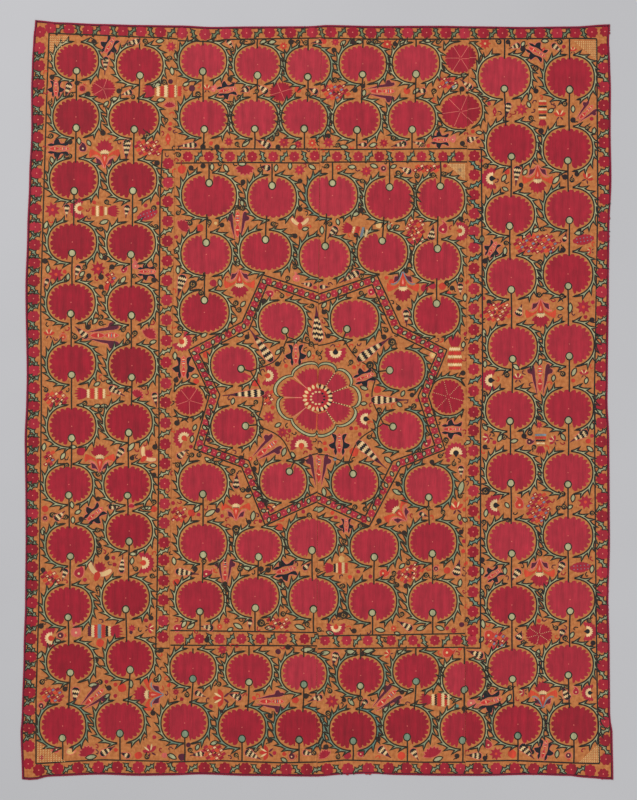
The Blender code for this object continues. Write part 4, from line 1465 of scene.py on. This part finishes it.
# Ragged blossoms: x, y, radius, colour.
BLOSSOMS = (
    (171, 46.6, 6, "crimson"), (284, 142.4, 6, "crimson"), (328.4, 142.4, 6, "crimson"),
    (383.8, 143, 5, "crimson"), (299.6, 170, 6, "crimson"), (335.4, 42, 5, "crimson"),
    (387.3, 44.2, 6, "orange"), (485, 43.6, 6, "orange"), (283.5, 46, 4.5, "orange"),
    (228.8, 141.7, 5, "crimson"), (298.2, 144.5, 5, "crimson"), (312.2, 143, 5, "orange"),
    (366.3, 171.2, 6, "crimson"), (521.7, 109.3, 7, "crimson"), (338.5, 167.6, 4, "orange"),
    (52.6, 209.8, 8, "crimson"), (56, 274.4, 8, "crimson"), (98.2, 268.8, 8.5, "crimson"),
    (583.5, 307, 8, "crimson"), (282.4, 432.4, 6, "crimson"), (269, 417, 7, "crimson"),
    (226.7, 620.7, 4, "crimson"), (219.6, 626.8, 3.5, "orange"), (393.6, 628.4, 4, "orange"),
    (453.7, 630.6, 4, "crimson"), (222.4, 649.5, 5.5, "crimson"), (331.9, 701.4, 7.5, "crimson"),
    (496, 753.8, 7, "crimson"), (539, 424.9, 4, "crimson"), (585.4, 502, 8, "crimson"),
    (250.5, 458.8, 3, "orange"), (132, 628, 4, "crimson"), (176, 692, 4, "crimson"),
)
# Round buds: x, y, radius, colour.
BUDS = (
    (181.8, 169.6, 4.5, "orange"), (507, 171.6, 3, "orange"), (200, 228, 4, "orange"),
    (213.3, 283, 4, "crimson"), (255.6, 382, 5, "orange"), (354, 452, 5, "orange"),
    (206.5, 354.5, 4, "orange"), (196.3, 381.4, 3, "orange"), (377.6, 389.7, 4, "orange"),
    (297.8, 89.8, 3.5, "orange"), (407, 91.2, 3.5, "orange"), (424.6, 288.2, 4.5, "crimson"),
    (432.2, 285.6, 4, "crimson"), (442.4, 286.3, 4, "orange"), (448.8, 293.7, 3, "orange"),
    (391.4, 281.8, 3, "orange"), (108, 287, 4, "orange"), (45, 509, 3.5, "orange"),
    (81, 451.6, 4.5, "crimson"), (153.8, 509, 3.5, "orange"), (100, 643, 4.2, "orange"),
    (122, 688, 4.5, "orange"), (138.4, 755.4, 4, "orange"), (164.3, 755.4, 3, "pink"),
    (182, 757, 4, "plum"), (176.5, 582.5, 4, "orange"), (254, 698, 2.4, "orange"),
    (295.4, 700, 3.6, "orange"), (347.3, 755.4, 4, "crimson"), (401.3, 756, 4.2, "orange"),
    (512, 753.8, 4.5, "orange"), (279.3, 527, 4, "orange"), (217.7, 510.4, 2.6, "plum"),
    (191.6, 513, 4.2, "orange"), (447.3, 570.6, 3.6, "orange"), (278, 651.6, 3, "plum"),
    (461.7, 624.6, 2.8, "plum"), (588.2, 441, 2.8, "orange"), (457, 706, 2, "leaf"), (335, 459, 2, "leaf"),
    (41.6, 757.5, 2.5, "crimson"), (131, 632.5, 2, "plum"), (188.4, 745, 2.6, "plum"),
    (341.5, 559, 3.4, "cream"), (378.7, 225, 3.4, "cream"), (215.6, 223.2, 1.8, "cream"),
    (208.4, 440, 2.4, "plum"), (213, 437.5, 2, "cream"), (460, 170, 2, "plum"),
    (323.5, 40.4, 3.4, "orange"), (170.5, 81.5, 2.6, "plum"), (192, 88.5, 3.4, "plum"),
)
# Fruits, commas, flames, feathers and orchids: kind, x, y, turn, size, colour.
ODD_FLOWERS = (
    ("fruit", 82.3, 88.6, 60, 0.9, "crimson"), ("fruit", 383.4, 168.5, 180, 0.8, "plum"),
    ("fruit", 63, 336.8, 90, 0.8, "orange"), ("fruit", 45, 518.2, 90, 0.7, "plum"),
    ("fruit", 60.5, 635.4, 0, 0.9, "plum"), ("fruit", 291.9, 756.5, 0, 0.85, "plum"),
    ("fruit", 436, 568.6, 60, 0.65, "plum"), ("fruit", 568.5, 755.5, -90, 0.8, "plum"),
    ("fruit", 41, 705.6, 90, 0.75, "plum"), ("flame", 168, 139.5, 90, 0.95, "orange"),
    ("flame", 543, 50, 60, 0.5, "orange"), ("flame", 494.7, 112, 90, 0.7, "crimson"),
    ("comma", 177, 628.4, 30, 0.9, "crimson"), ("comma", 206.3, 574, 20, 1.0, "crimson"),
    ("comma", 488.5, 635.2, 0, 1.2, "orange"), ("comma", 426.5, 443.6, 40, 0.95, "crimson"),
    ("comma", 432.4, 355.3, 30, 0.8, "cream"), ("comma", 371, 292, 20, 0.85, "crimson"),
    ("comma", 270.5, 293.7, 160, 0.85, "crimson"), ("comma", 135.4, 266, 90, 0.8, "pink"),
    ("comma", 360.7, 754, 60, 0.8, "crimson"), ("comma", 471, 703, -30, 1.0, "pink"),
    ("comma", 576, 692, 90, 0.75, "crimson"), ("comma", 488.4, 745, 120, 0.95, "crimson"),
    ("comma", 82.9, 148.5, 90, 0.95, "plum"), ("comma", 123.5, 270.2, 30, 0.7, "crimson"),
    ("comma", 383, 573.3, 0, 1.0, "orange"), ("comma", 446.9, 652.6, 0, 1.2, "orange"),
    ("comma", 519.5, 505, 90, 1.1, "orange"), ("comma", 69, 751.5, -20, 0.8, "cream"),
    ("comma", 296.3, 278.6, 80, 0.8, "pink"), ("comma", 443, 229.5, 70, 1.1, "crimson"),
    ("comma", 56.5, 749.5, 180, 0.7, "crimson"), ("comma", 529.3, 441.7, 0, 0.75, "plum"),
    ("comma", 76, 632.6, 90, 1.2, "pink"), ("comma", 213, 89, 60, 0.7, "pink"),
    ("comma", 452.7, 139.6, 60, 0.7, "pink"), ("comma", 78.8, 573.6, 60, 1.2, "crimson"),
    ("feather", 583.5, 239.6, 10, 22, "crimson"), ("feather", 580.5, 567.3, 5, 22, "crimson"),
    ("feather", 147.3, 214.7, 20, 22, "crimson"), ("orchid", 300, 223, 90, 0.85, "cream"),
    ("orchid", 146, 456.5, 45, 0.9, "cream"), ("orchid", 98.4, 572.2, 70, 1.15, "cream"),
)
ODD_KINDS = {"fruit": pomegranate, "flame": flame, "comma": paisley, "feather": feather, "orchid": orchid}
# Speckled corners: the corner, and how far the stitches reach along each of its sides.
SPECKLED = (
    (49.5, 36, 70, 36, 49.5, 62), (597, 41, 574, 41, 597, 60), (465, 164, 448, 164, 465, 180),
    (36.8, 762, 66, 762, 37, 742), (599, 762.5, 579, 762.5, 599, 744),
)


def stitch_fillers():
    for x, y in CURLS:
        curl(x, y, 2.0 + 0.4 * rng.random())
    for x, y in BIG_CURLS:
        curl(x, y, 3.3)
    for x, y, turn, length in LEAVES:
        leaf(x, y, turn, length, leaf_tone(x, y) * 0.5, ink_tone(x))
    for motif, rows in (
        (pepper, PEPPERS), (iris, IRISES), (palmette, PALMETTES), (tulip, TULIPS), (cluster, CLUSTERS),
        (half_flower, HALF_FLOWERS), (crimson_fan, FANS), (lily, LILIES), (blossom, BLOSSOMS), (blob, BUDS),
    ):
        for row in rows:
            motif(*row)
    for row in ODD_FLOWERS:
        ODD_KINDS[row[0]](*row[1:])
    for row in SPECKLED:
        speckled_corner(*row)


outer_border()
inner_border()
star_border()
vine()
stitch_columns()
stitch_star_roundels()
for row in SPOKED_ROUNDS:
    spoked(*row)
centre_flower()
stitch_fillers()


# Small fillers: curls, leaves and buds in what is left of the ground

# Places in a triangle, as shares of its three corners.
IN_TRIANGLE = (
    (1, 0, 0), (0, 1, 0), (0, 0, 1), (0.5, 0.5, 0), (0, 0.5, 0.5), (0.5, 0, 0.5), (0.34, 0.33, 0.33),
)


def taken_places():
    """A map of the chart in half steps, marked wherever something is stitched."""
    grid = np.zeros((PHOTO_HEIGHT * 2, PHOTO_WIDTH * 2), bool)
    for shapes in stitches.values():
        for rows, triangles, _ in shapes:
            corners = rows[:, :2][triangles]
            x = corners[:, :, 0] / STEP + CHART_X
            y = CHART_Y - corners[:, :, 1] / STEP
            for weights in IN_TRIANGLE:
                column = np.clip(((x * weights).sum(axis=1) * 2).astype(int), 0, grid.shape[1] - 1)
                line = np.clip(((y * weights).sum(axis=1) * 2).astype(int), 0, grid.shape[0] - 1)
                grid[line, column] = True
    return grid


# Small fillers: what they are, how much bare ground they need round them, and how many there are at most.
SMALL_KINDS = (("curl", 3.5, 80), ("leaf", 3.0, 130), ("bud", 2.5, 160), ("sprig", 2.0, 260))
SCATTER_X, SCATTER_Y = 45, 42  # the upper left corner of where they may be
SCATTER_WIDTH, SCATTER_HEIGHT = 548, 715
TRIES = 40  # for each of them
WREATH_REACH = 3  # of a wreath beyond its disc's size in the tables


def scatter_small():
    """Curls, leaves, buds and tendrils, wherever a seeded draw finds enough bare ground."""
    grid = taken_places()
    discs = [row for *_, rows in COLUMNS for row in rows] + [row[:4] for row in STAR_ROUNDELS]
    for x, y, across, up in discs:
        mark(grid, x, y, across + WREATH_REACH, up + WREATH_REACH)
    for x, y, across, up, *_ in SPOKED_ROUNDS:
        mark(grid, x, y, across, up)
    mark(grid, FLOWER_X, FLOWER_Y, 42, 37)
    for kind, reach, wanted in SMALL_KINDS:
        made = 0
        for _ in range(wanted * TRIES):
            x, y = SCATTER_X + rng.random() * SCATTER_WIDTH, SCATTER_Y + rng.random() * SCATTER_HEIGHT
            if not free(grid, x, y, reach):
                continue
            if kind == "curl":
                curl(x, y)
            elif kind == "leaf":
                leaf(x, y, 360 * rng.random(), 6.5, leaf_tone(x, y) * 0.5, ink_tone(x))
            elif kind == "bud":
                blob(x, y, 2.2, "orange" if rng.random() < 0.5 else "crimson")
            else:
                sprig(x, y)
            mark(grid, x, y, reach, reach)
            made += 1
            if made == wanted:
                break


def mark(grid, x, y, across, up):
    """Marks an oval as taken."""
    rows, columns = np.ogrid[: grid.shape[0], : grid.shape[1]]
    top, bottom = int((y - up) * 2), int((y + up) * 2) + 1
    left, right = int((x - across) * 2), int((x + across) * 2) + 1
    inside = ((columns[:, left:right] / 2 - x) / across) ** 2 + ((rows[top:bottom] / 2 - y) / up) ** 2 <= 1
    grid[top:bottom, left:right] |= inside


def free(grid, x, y, reach):
    """Whether nothing is marked within this reach of a place."""
    top, bottom = int((y - reach) * 2), int((y + reach) * 2) + 1
    left, right = int((x - reach) * 2), int((x + reach) * 2) + 1
    rows, columns = np.ogrid[top:bottom, left:right]
    inside = (columns / 2 - x) ** 2 + (rows / 2 - y) ** 2 <= reach**2
    return not (grid[top:bottom, left:right] & inside).any()


scatter_small()


# Materials

def new_material(name):
    material = bpy.data.materials.new(name)
    material.use_nodes = True
    tree = material.node_tree
    return material, tree, tree.nodes["Principled BSDF"]


def node(tree, kind, **values):
    made = tree.nodes.new(kind)
    for key, value in values.items():
        setattr(made, key, value)
    return made


def scaled_noise(tree, scale, detail):
    """Noise over the cloth, its grain scaled apart along x, y and z."""
    place = node(tree, "ShaderNodeTexCoord")
    mapping = node(tree, "ShaderNodeMapping")
    mapping.inputs["Scale"].default_value = scale
    noise = node(tree, "ShaderNodeTexNoise")
    noise.inputs["Scale"].default_value = 1.0
    noise.inputs["Detail"].default_value = detail
    tree.links.new(place.outputs["Object"], mapping.inputs["Vector"])
    tree.links.new(mapping.outputs["Vector"], noise.inputs["Vector"])
    return noise


NOISE_LOW, NOISE_HIGH = 0.3, 0.7  # between which nearly all of a noise's values lie


def brightness(tree, colour, factor_socket, low, high):
    """The colour times a factor that runs from low to high as the noise in the socket does."""
    spread = node(tree, "ShaderNodeMapRange")
    spread.inputs["From Min"].default_value = NOISE_LOW
    spread.inputs["From Max"].default_value = NOISE_HIGH
    spread.inputs["To Min"].default_value = low
    spread.inputs["To Max"].default_value = high
    mix = node(tree, "ShaderNodeVectorMath", operation="SCALE")
    tree.links.new(factor_socket, spread.inputs["Value"])
    tree.links.new(colour, mix.inputs[0])
    tree.links.new(spread.outputs["Result"], mix.inputs["Scale"])
    return mix.outputs["Vector"]


def toned_ramp(tree, colours):
    """Evenly spaced colours, chosen by each point's tone."""
    tone = node(tree, "ShaderNodeAttribute", attribute_name="tone")
    ramp = node(tree, "ShaderNodeValToRGB")
    between = len(colours) - 1
    for number in range(1, between):
        ramp.color_ramp.elements.new(number / between)
    for element, colour in zip(ramp.color_ramp.elements, colours):
        element.color = colour
    tree.links.new(tone.outputs["Fac"], ramp.inputs["Fac"])
    return ramp.outputs["Color"]


def finish_surface(tree, shader, colour, relief, strength, depth, roughness, specular):
    """Gives a shader its colour, a bump from the relief noise, and a matt surface."""
    tree.links.new(colour, shader.inputs["Base Color"])
    bump = node(tree, "ShaderNodeBump")
    bump.inputs["Strength"].default_value = strength
    bump.inputs["Distance"].default_value = depth
    tree.links.new(relief.outputs["Fac"], bump.inputs["Height"])
    tree.links.new(bump.outputs["Normal"], shader.inputs["Normal"])
    shader.inputs["Roughness"].default_value = roughness
    shader.inputs["Specular IOR Level"].default_value = specular


def silk_material(colour):
    """Couched silk floss: long threads down the cloth, tied across, with its tone taken from each motif."""
    material, tree, shader = new_material(f"{colour}_silk_floss")
    result = toned_ramp(tree, SILKS[colour])
    for scale, low, high in (
        ((620.0, 26.0, 1.0), 0.86, 1.14),  # streaks
        ((42.0, 30.0, 1.0), 0.9, 1.1),  # patches
        ((75.0, 5.0, 1.0), 0.84, 1.16),  # bands
    ):
        result = brightness(tree, result, scaled_noise(tree, scale, 2.0).outputs["Fac"], low, high)
    threads = scaled_noise(tree, (1500.0, 90.0, 1.0), 1.0)
    finish_surface(tree, shader, result, threads, 0.5, 0.3 * MM, 0.62, 0.3)
    return material


def ground_material():
    """Handwoven ochre cloth, covered in short couching stitches."""
    material, tree, shader = new_material("ochre_ground_weave")
    ramp = node(tree, "ShaderNodeValToRGB")
    first, last = ramp.color_ramp.elements
    first.position, last.position = NOISE_LOW, NOISE_HIGH
    first.color, last.color = srgb(174, 101, 54), srgb(204, 131, 76)
    patches = scaled_noise(tree, (95.0, 95.0, 1.0), 3.0)
    tree.links.new(patches.outputs["Fac"], ramp.inputs["Fac"])
    streaks = scaled_noise(tree, (520.0, 60.0, 1.0), 2.0)
    result = brightness(tree, ramp.outputs["Color"], streaks.outputs["Fac"], 0.84, 1.1)
    weave = scaled_noise(tree, (1300.0, 420.0, 1.0), 1.0)
    finish_surface(tree, shader, result, weave, 0.6, 0.3 * MM, 0.8, 0.2)
    return material


def braid_material():
    """Plum braid, its crimson rim towards the outside, with a fine rib whose hollows are painted darker:
    painted shade from the same noise that raises the rib.
    """
    material, tree, shader = new_material("plum_edge_braid")
    colours = toned_ramp(tree, (srgb(96, 14, 40), srgb(120, 18, 46), srgb(170, 30, 62)))
    rib_height_and_painted_shade = scaled_noise(tree, (700.0, 700.0, 1.0), 1.0)
    # painted shade: the colour is darker where the rib noise is low, the same noise that drives the bump
    # below
    result = brightness(tree, colours, rib_height_and_painted_shade.outputs["Fac"], 0.8, 1.2)
    finish_surface(tree, shader, result, rib_height_and_painted_shade, 0.7, 0.4 * MM, 0.7, 0.25)
    return material


# Pieces

def add_piece(name, mesh, material):
    """An object of this mesh in the scene, with its material and a flat map."""
    mesh.materials.append(material)
    add_flat_map(mesh)
    piece = bpy.data.objects.new(name, mesh)
    bpy.context.scene.collection.objects.link(piece)
    return piece


def add_flat_map(mesh):
    """A map straight down onto the cloth, stretched to fill its square."""
    corners = np.empty(len(mesh.loops), np.int32)
    mesh.loops.foreach_get("vertex_index", corners)
    points = np.empty(len(mesh.vertices) * 3)
    mesh.vertices.foreach_get("co", points)
    places = points.reshape(-1, 3)[:, :2]
    low, high = places.min(axis=0), places.max(axis=0)
    shares = 0.004 + 0.992 * (places - low) / (high - low)
    layer = mesh.uv_layers.new(name="OFBake")
    layer.data.foreach_set("uv", shares[corners].astype(np.float32).reshape(-1))


def add_tones(mesh, tones):
    attribute = mesh.attributes.new("tone", "FLOAT", "POINT")
    attribute.data.foreach_set("value", np.asarray(tones, np.float32))


def grid_faces(index):
    """A face between each four neighbours of a grid of point numbers."""
    corners = (index[:-1, :-1], index[:-1, 1:], index[1:, 1:], index[1:, :-1])
    return np.column_stack([corner.ravel() for corner in corners])


TURN_DOWN, TURN_WIDTH = 0.9 * MM, 0.8 * MM  # how far a strip's edges are turned down, and over what width
UNDERSIDE = 0.05 * MM


def ground_sheet(number, material):
    """One loom-width strip: its upper face ripples a little, and its edges are turned down."""
    edges = panel_edges[number]
    turned = np.array((0.0, 0.002, 0.005))
    across = np.concatenate((turned, np.linspace(0.025, 0.975, 33), 1 - turned[::-1]))
    along_cloth = np.concatenate((turned / 5, np.linspace(0.004, 0.996, 165), 1 - turned[::-1] / 5))
    share_x, share_y = np.meshgrid(across, along_cloth)
    middle = (edges.low[0] + edges.high[0]) / 2
    y = edges.bottom(middle) + (edges.top(middle) - edges.bottom(middle)) * share_y
    for _ in range(3):
        x = edges.left(y) + (edges.right(y) - edges.left(y)) * share_x
        y = edges.bottom(x) + (edges.top(x) - edges.bottom(x)) * share_y
    from_side = np.minimum(share_x, 1 - share_x) * (edges.high[0] - edges.low[0])
    from_end = np.minimum(share_y, 1 - share_y) * (edges.high[1] - edges.low[1])
    inset = np.minimum(from_side, from_end)
    top = cloth_surface(x, y) - TURN_DOWN * np.exp(-inset / TURN_WIDTH)
    rows, columns = x.shape
    upper = np.column_stack((x.ravel(), y.ravel(), top.ravel()))
    lower = np.column_stack((x.ravel(), y.ravel(), np.full(x.size, UNDERSIDE)))
    index = np.arange(rows * columns).reshape(rows, columns)
    quads = grid_faces(index)
    around = np.concatenate((index[0, :-1], index[:-1, -1], index[-1, :0:-1], index[:0:-1, 0]))
    after = np.roll(around, -1)
    count = rows * columns
    sides = np.column_stack((around, around + count, after + count, after))
    faces = np.vstack((quads, quads[:, ::-1] + count, sides))
    name = f"ground_{number + 1}"
    mesh = bpy.data.meshes.new(name)
    mesh.from_pydata(np.vstack((upper, lower)).tolist(), [], faces.tolist())
    mesh.shade_smooth()
    return add_piece(name, mesh, material)


BRAID_PROFILE = (
    # share of the braid's width from its inner edge, height in mm, tone towards the crimson rim
    (0.0, 0.1, 0.0), (0.0, 1.6, 0.0), (0.12, 2.5, 0.0), (0.35, 3.0, 0.05), (0.55, 2.9, 0.2), (0.75, 2.8, 0.8),
    (0.92, 2.2, 1.0), (1.0, 1.2, 1.0), (1.0, 0.1, 1.0),
)


BRAID_PITCH = 4 * MM  # between two of the places along it


def braid_length(side, material):
    """One length of the braid, with a rounded back."""
    edges = Edges(f"binding_{side}", narrow=True)
    upright = side in ("left", "right")
    axis = 1 if upright else 0
    low_end, high_end = edges.ends(axis)
    count = int((edges.high[axis] - edges.low[axis]) / BRAID_PITCH)
    places = np.linspace(edges.low[axis] + 0.3 * MM, edges.high[axis] - 0.3 * MM, count)
    if upright:
        low, high = edges.left(places), edges.right(places)
    else:
        low, high = edges.bottom(places), edges.top(places)
    outer, inner = (low, high) if side in ("left", "bottom") else (high, low)
    rows, tones = [], []
    for share, height, tone in BRAID_PROFILE:
        wobble = 0.12 * MM * np.sin(np.arange(count) * 1.9 + share * 9) * (height > 1)
        across = inner + (outer - inner) * share
        begin = np.interp(across, low_end[:, 1 - axis], low_end[:, axis]) + 0.2 * MM
        finish = np.interp(across, high_end[:, 1 - axis], high_end[:, axis]) - 0.2 * MM
        lengthwise = np.clip(places, begin, finish)
        level = height * MM + wobble
        rows.append(np.column_stack((across, lengthwise, level) if upright else (lengthwise, across, level)))
        tones.append(np.full(count, tone))
    points = np.vstack(rows)
    strips = len(BRAID_PROFILE)
    index = np.arange(count * strips).reshape(strips, count)
    index = np.vstack((index, index[:1]))
    quads = grid_faces(index)[:, (0, 3, 2, 1)]
    faces = quads.tolist() + [index[:-1, 0].tolist(), index[:-1, -1].tolist()]
    mesh = bpy.data.meshes.new(f"braid_{side}")
    mesh.from_pydata(points.tolist(), [], faces)
    shape = bmesh.new()
    shape.from_mesh(mesh)
    bmesh.ops.recalc_face_normals(shape, faces=shape.faces)
    shape.to_mesh(mesh)
    shape.free()
    piece = add_piece(f"braid_{side}", mesh, material)
    add_tones(mesh, np.concatenate(tones))
    mesh.shade_smooth()
    return piece


def clipped(corners, inside):
    """The part of each triangle where inside is over 0."""
    kept = [corners[(inside >= 0).all(axis=1)]]
    crossing = (inside >= 0).any(axis=1) & (inside < 0).any(axis=1)
    for corner, depth in zip(corners[crossing], inside[crossing]):
        polygon = []
        for i in range(3):
            j = (i + 1) % 3
            if depth[i] >= 0:
                polygon.append(corner[i])
            if (depth[i] >= 0) != (depth[j] >= 0):
                polygon.append(corner[i] + (corner[j] - corner[i]) * (depth[i] / (depth[i] - depth[j])))
        for i in range(1, len(polygon) - 1):
            kept.append(np.array((polygon[0], polygon[i], polygon[i + 1]))[None])
    return np.concatenate(kept)


SEAM_CLEARANCE = 0.4 * MM
LEAST_FACE = 1e-11  # square metres, twice the area of the smallest face that is kept
STRIP_SHIFTS = (
    0.0, 0.7, -0.6, 0.5,
)
STRIP_TONES = (
    -0.16, 0.12, 0.08, -0.16,
)
LARGE_SHAPE = 30 * MM  # a shape that is wider than this changes its tone at a seam


def by_strip(shapes):
    """Shares shapes out to the strips that they lie on, cutting those that cross a seam."""
    strips = [[] for _ in range(PANELS)]
    for rows, triangles, smooth in shapes:
        y = rows[:, 1]
        seam_x = [(panel_edges[i].right(y) + panel_edges[i + 1].left(y)) / 2 for i in range(SEAMS)]
        past = sum((rows[:, 0] > x).astype(int) for x in seam_x)
        first, last = int(past.min()), int(past.max())
        if first == last:
            strips[first].append((rows, triangles, smooth))
            continue
        for strip in range(first, last + 1):
            moved = rows.copy()
            moved[:, 1] += STRIP_SHIFTS[strip] * STEP
            if np.ptp(rows[:, 0]) > LARGE_SHAPE:
                moved[:, 3] = np.clip(moved[:, 3] + STRIP_TONES[strip], 0, 1)
            corners = moved[triangles]
            x, y = corners[:, :, 0], corners[:, :, 1]
            corners = clipped(corners, x - panel_edges[strip].left(y) - SEAM_CLEARANCE)
            if len(corners):
                x, y = corners[:, :, 0], corners[:, :, 1]
                corners = clipped(corners, panel_edges[strip].right(y) - SEAM_CLEARANCE - x)
            if len(corners):
                loose = corners.reshape(-1, rows.shape[1])
                strips[strip].append((loose, np.arange(len(loose), dtype=np.int32).reshape(-1, 3), smooth))
    return strips


def needlework(name, shapes, material):
    """One piece of all the stitching in one colour on one strip."""
    rows = np.concatenate([shape[0] for shape in shapes])
    starts = np.cumsum([0] + [len(shape[0]) for shape in shapes[:-1]])
    triangles = np.concatenate([shape[1] + start for shape, start in zip(shapes, starts)])
    smooth = np.concatenate([np.full(len(shape[1]), shape[2]) for shape in shapes])
    corners = rows[triangles][:, :, :3]
    sides = np.cross(corners[:, 1] - corners[:, 0], corners[:, 2] - corners[:, 0])
    real = np.linalg.norm(sides, axis=1) > LEAST_FACE
    triangles, smooth = triangles[real], smooth[real]
    points = rows[:, :3].copy()
    points[:, 2] += cloth_surface(points[:, 0], points[:, 1])
    mesh = bpy.data.meshes.new(name)
    mesh.from_pydata(points.tolist(), [], triangles.tolist())
    mesh.polygons.foreach_set("use_smooth", smooth)
    piece = add_piece(name, mesh, material)
    add_tones(mesh, rows[:, 3])
    return piece


ground = ground_material()
grounds = [ground_sheet(number, ground) for number in range(PANELS)]
braid = braid_material()
braids = {side: braid_length(side, braid) for side in ("left", "right", "top", "bottom")}
on_panel = [[] for _ in range(PANELS)]
for colour, shapes in stitches.items():
    material = silk_material(colour)
    for number, strip in enumerate(by_strip(shapes)):
        if not strip:
            continue
        piece = needlework(f"{colour}_silk_{number + 1}", strip, material)
        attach(piece, "root")
        on_panel[number].append(piece)

for number, piece in enumerate(grounds):
    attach(piece, "root")
    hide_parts(f"panel_{number + 1}")
for side, piece in braids.items():
    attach(piece, "root")
    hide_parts(f"binding_{side}")
on_panel[0].append(braids["left"])
on_panel[1] += [braids["top"], braids["bottom"]]
on_panel[3].append(braids["right"])
for number, piece in enumerate(grounds):
    edges = panel_edges[number]
    heights, places = edges.sides[0][0], edges.tops[0][0]
    width = float(np.mean(edges.right(heights) - edges.left(heights)))
    length = float(np.mean(edges.top(places) - edges.bottom(places)))


# Floor, light and camera

def plain_floor():
    half = 12.0
    corners = [(-half, -half, 0), (half, -half, 0), (half, half, 0), (-half, half, 0)]
    mesh = bpy.data.meshes.new("floor")
    mesh.from_pydata(corners, [], [(0, 1, 2, 3)])
    material, tree, shader = new_material("pale_floor")
    grain = scaled_noise(tree, (3.0, 3.0, 1.0), 2.0)
    base = node(tree, "ShaderNodeRGB")
    base.outputs[0].default_value = srgb(194, 194, 197)
    result = brightness(tree, base.outputs[0], grain.outputs["Fac"], 0.99, 1.01)
    tree.links.new(result, shader.inputs["Base Color"])
    shader.inputs["Roughness"].default_value = 0.9
    shader.inputs["Specular IOR Level"].default_value = 0.1
    mesh.materials.append(material)
    floor = bpy.data.objects.new("floor", mesh)
    floor.location.z = -0.2 * MM
    bpy.context.scene.collection.objects.link(floor)


def soft_light(name, place, power, size):
    """A square lamp that faces the middle of the cloth."""
    lamp = bpy.data.lights.new(name, "AREA")
    lamp.energy = power
    lamp.size = size
    lamp_object = bpy.data.objects.new(name, lamp)
    lamp_object.location = place
    direction = -np.array(place)
    lamp_object.rotation_euler = (
        math.atan2(math.hypot(direction[0], direction[1]), -direction[2]),
        0.0,
        math.atan2(direction[1], direction[0]) + math.pi / 2 + math.pi,
    )
    bpy.context.scene.collection.objects.link(lamp_object)


def camera_above():
    """Straight above the cloth, its frame the photograph's."""
    lens, sensor = 85.0, 24.0
    camera = bpy.data.cameras.new("camera")
    camera.lens = lens
    camera.sensor_fit = "VERTICAL"
    camera.sensor_height = sensor
    camera_object = bpy.data.objects.new("camera", camera)
    height = PHOTO_HEIGHT * STEP * lens / sensor
    centre_x = (PHOTO_WIDTH / 2 - CHART_X) * STEP
    centre_y = (CHART_Y - PHOTO_HEIGHT / 2) * STEP
    camera_object.location = (centre_x, centre_y, height + CLOTH_TOP)
    bpy.context.scene.collection.objects.link(camera_object)
    bpy.context.scene.camera = camera_object


plain_floor()
soft_light("key", (-3.0, 3.0, 5.0), 200.0, 3.0)
soft_light("fill", (3.5, -2.0, 5.0), 120.0, 3.0)
world = bpy.data.worlds.new("studio")
bpy.context.scene.world = world
world.use_nodes = True
world.node_tree.nodes["Background"].inputs["Color"].default_value = (1.0, 1.0, 1.0, 1.0)
world.node_tree.nodes["Background"].inputs["Strength"].default_value = 0.42
bpy.context.scene.view_settings.view_transform = "Standard"
camera_above()
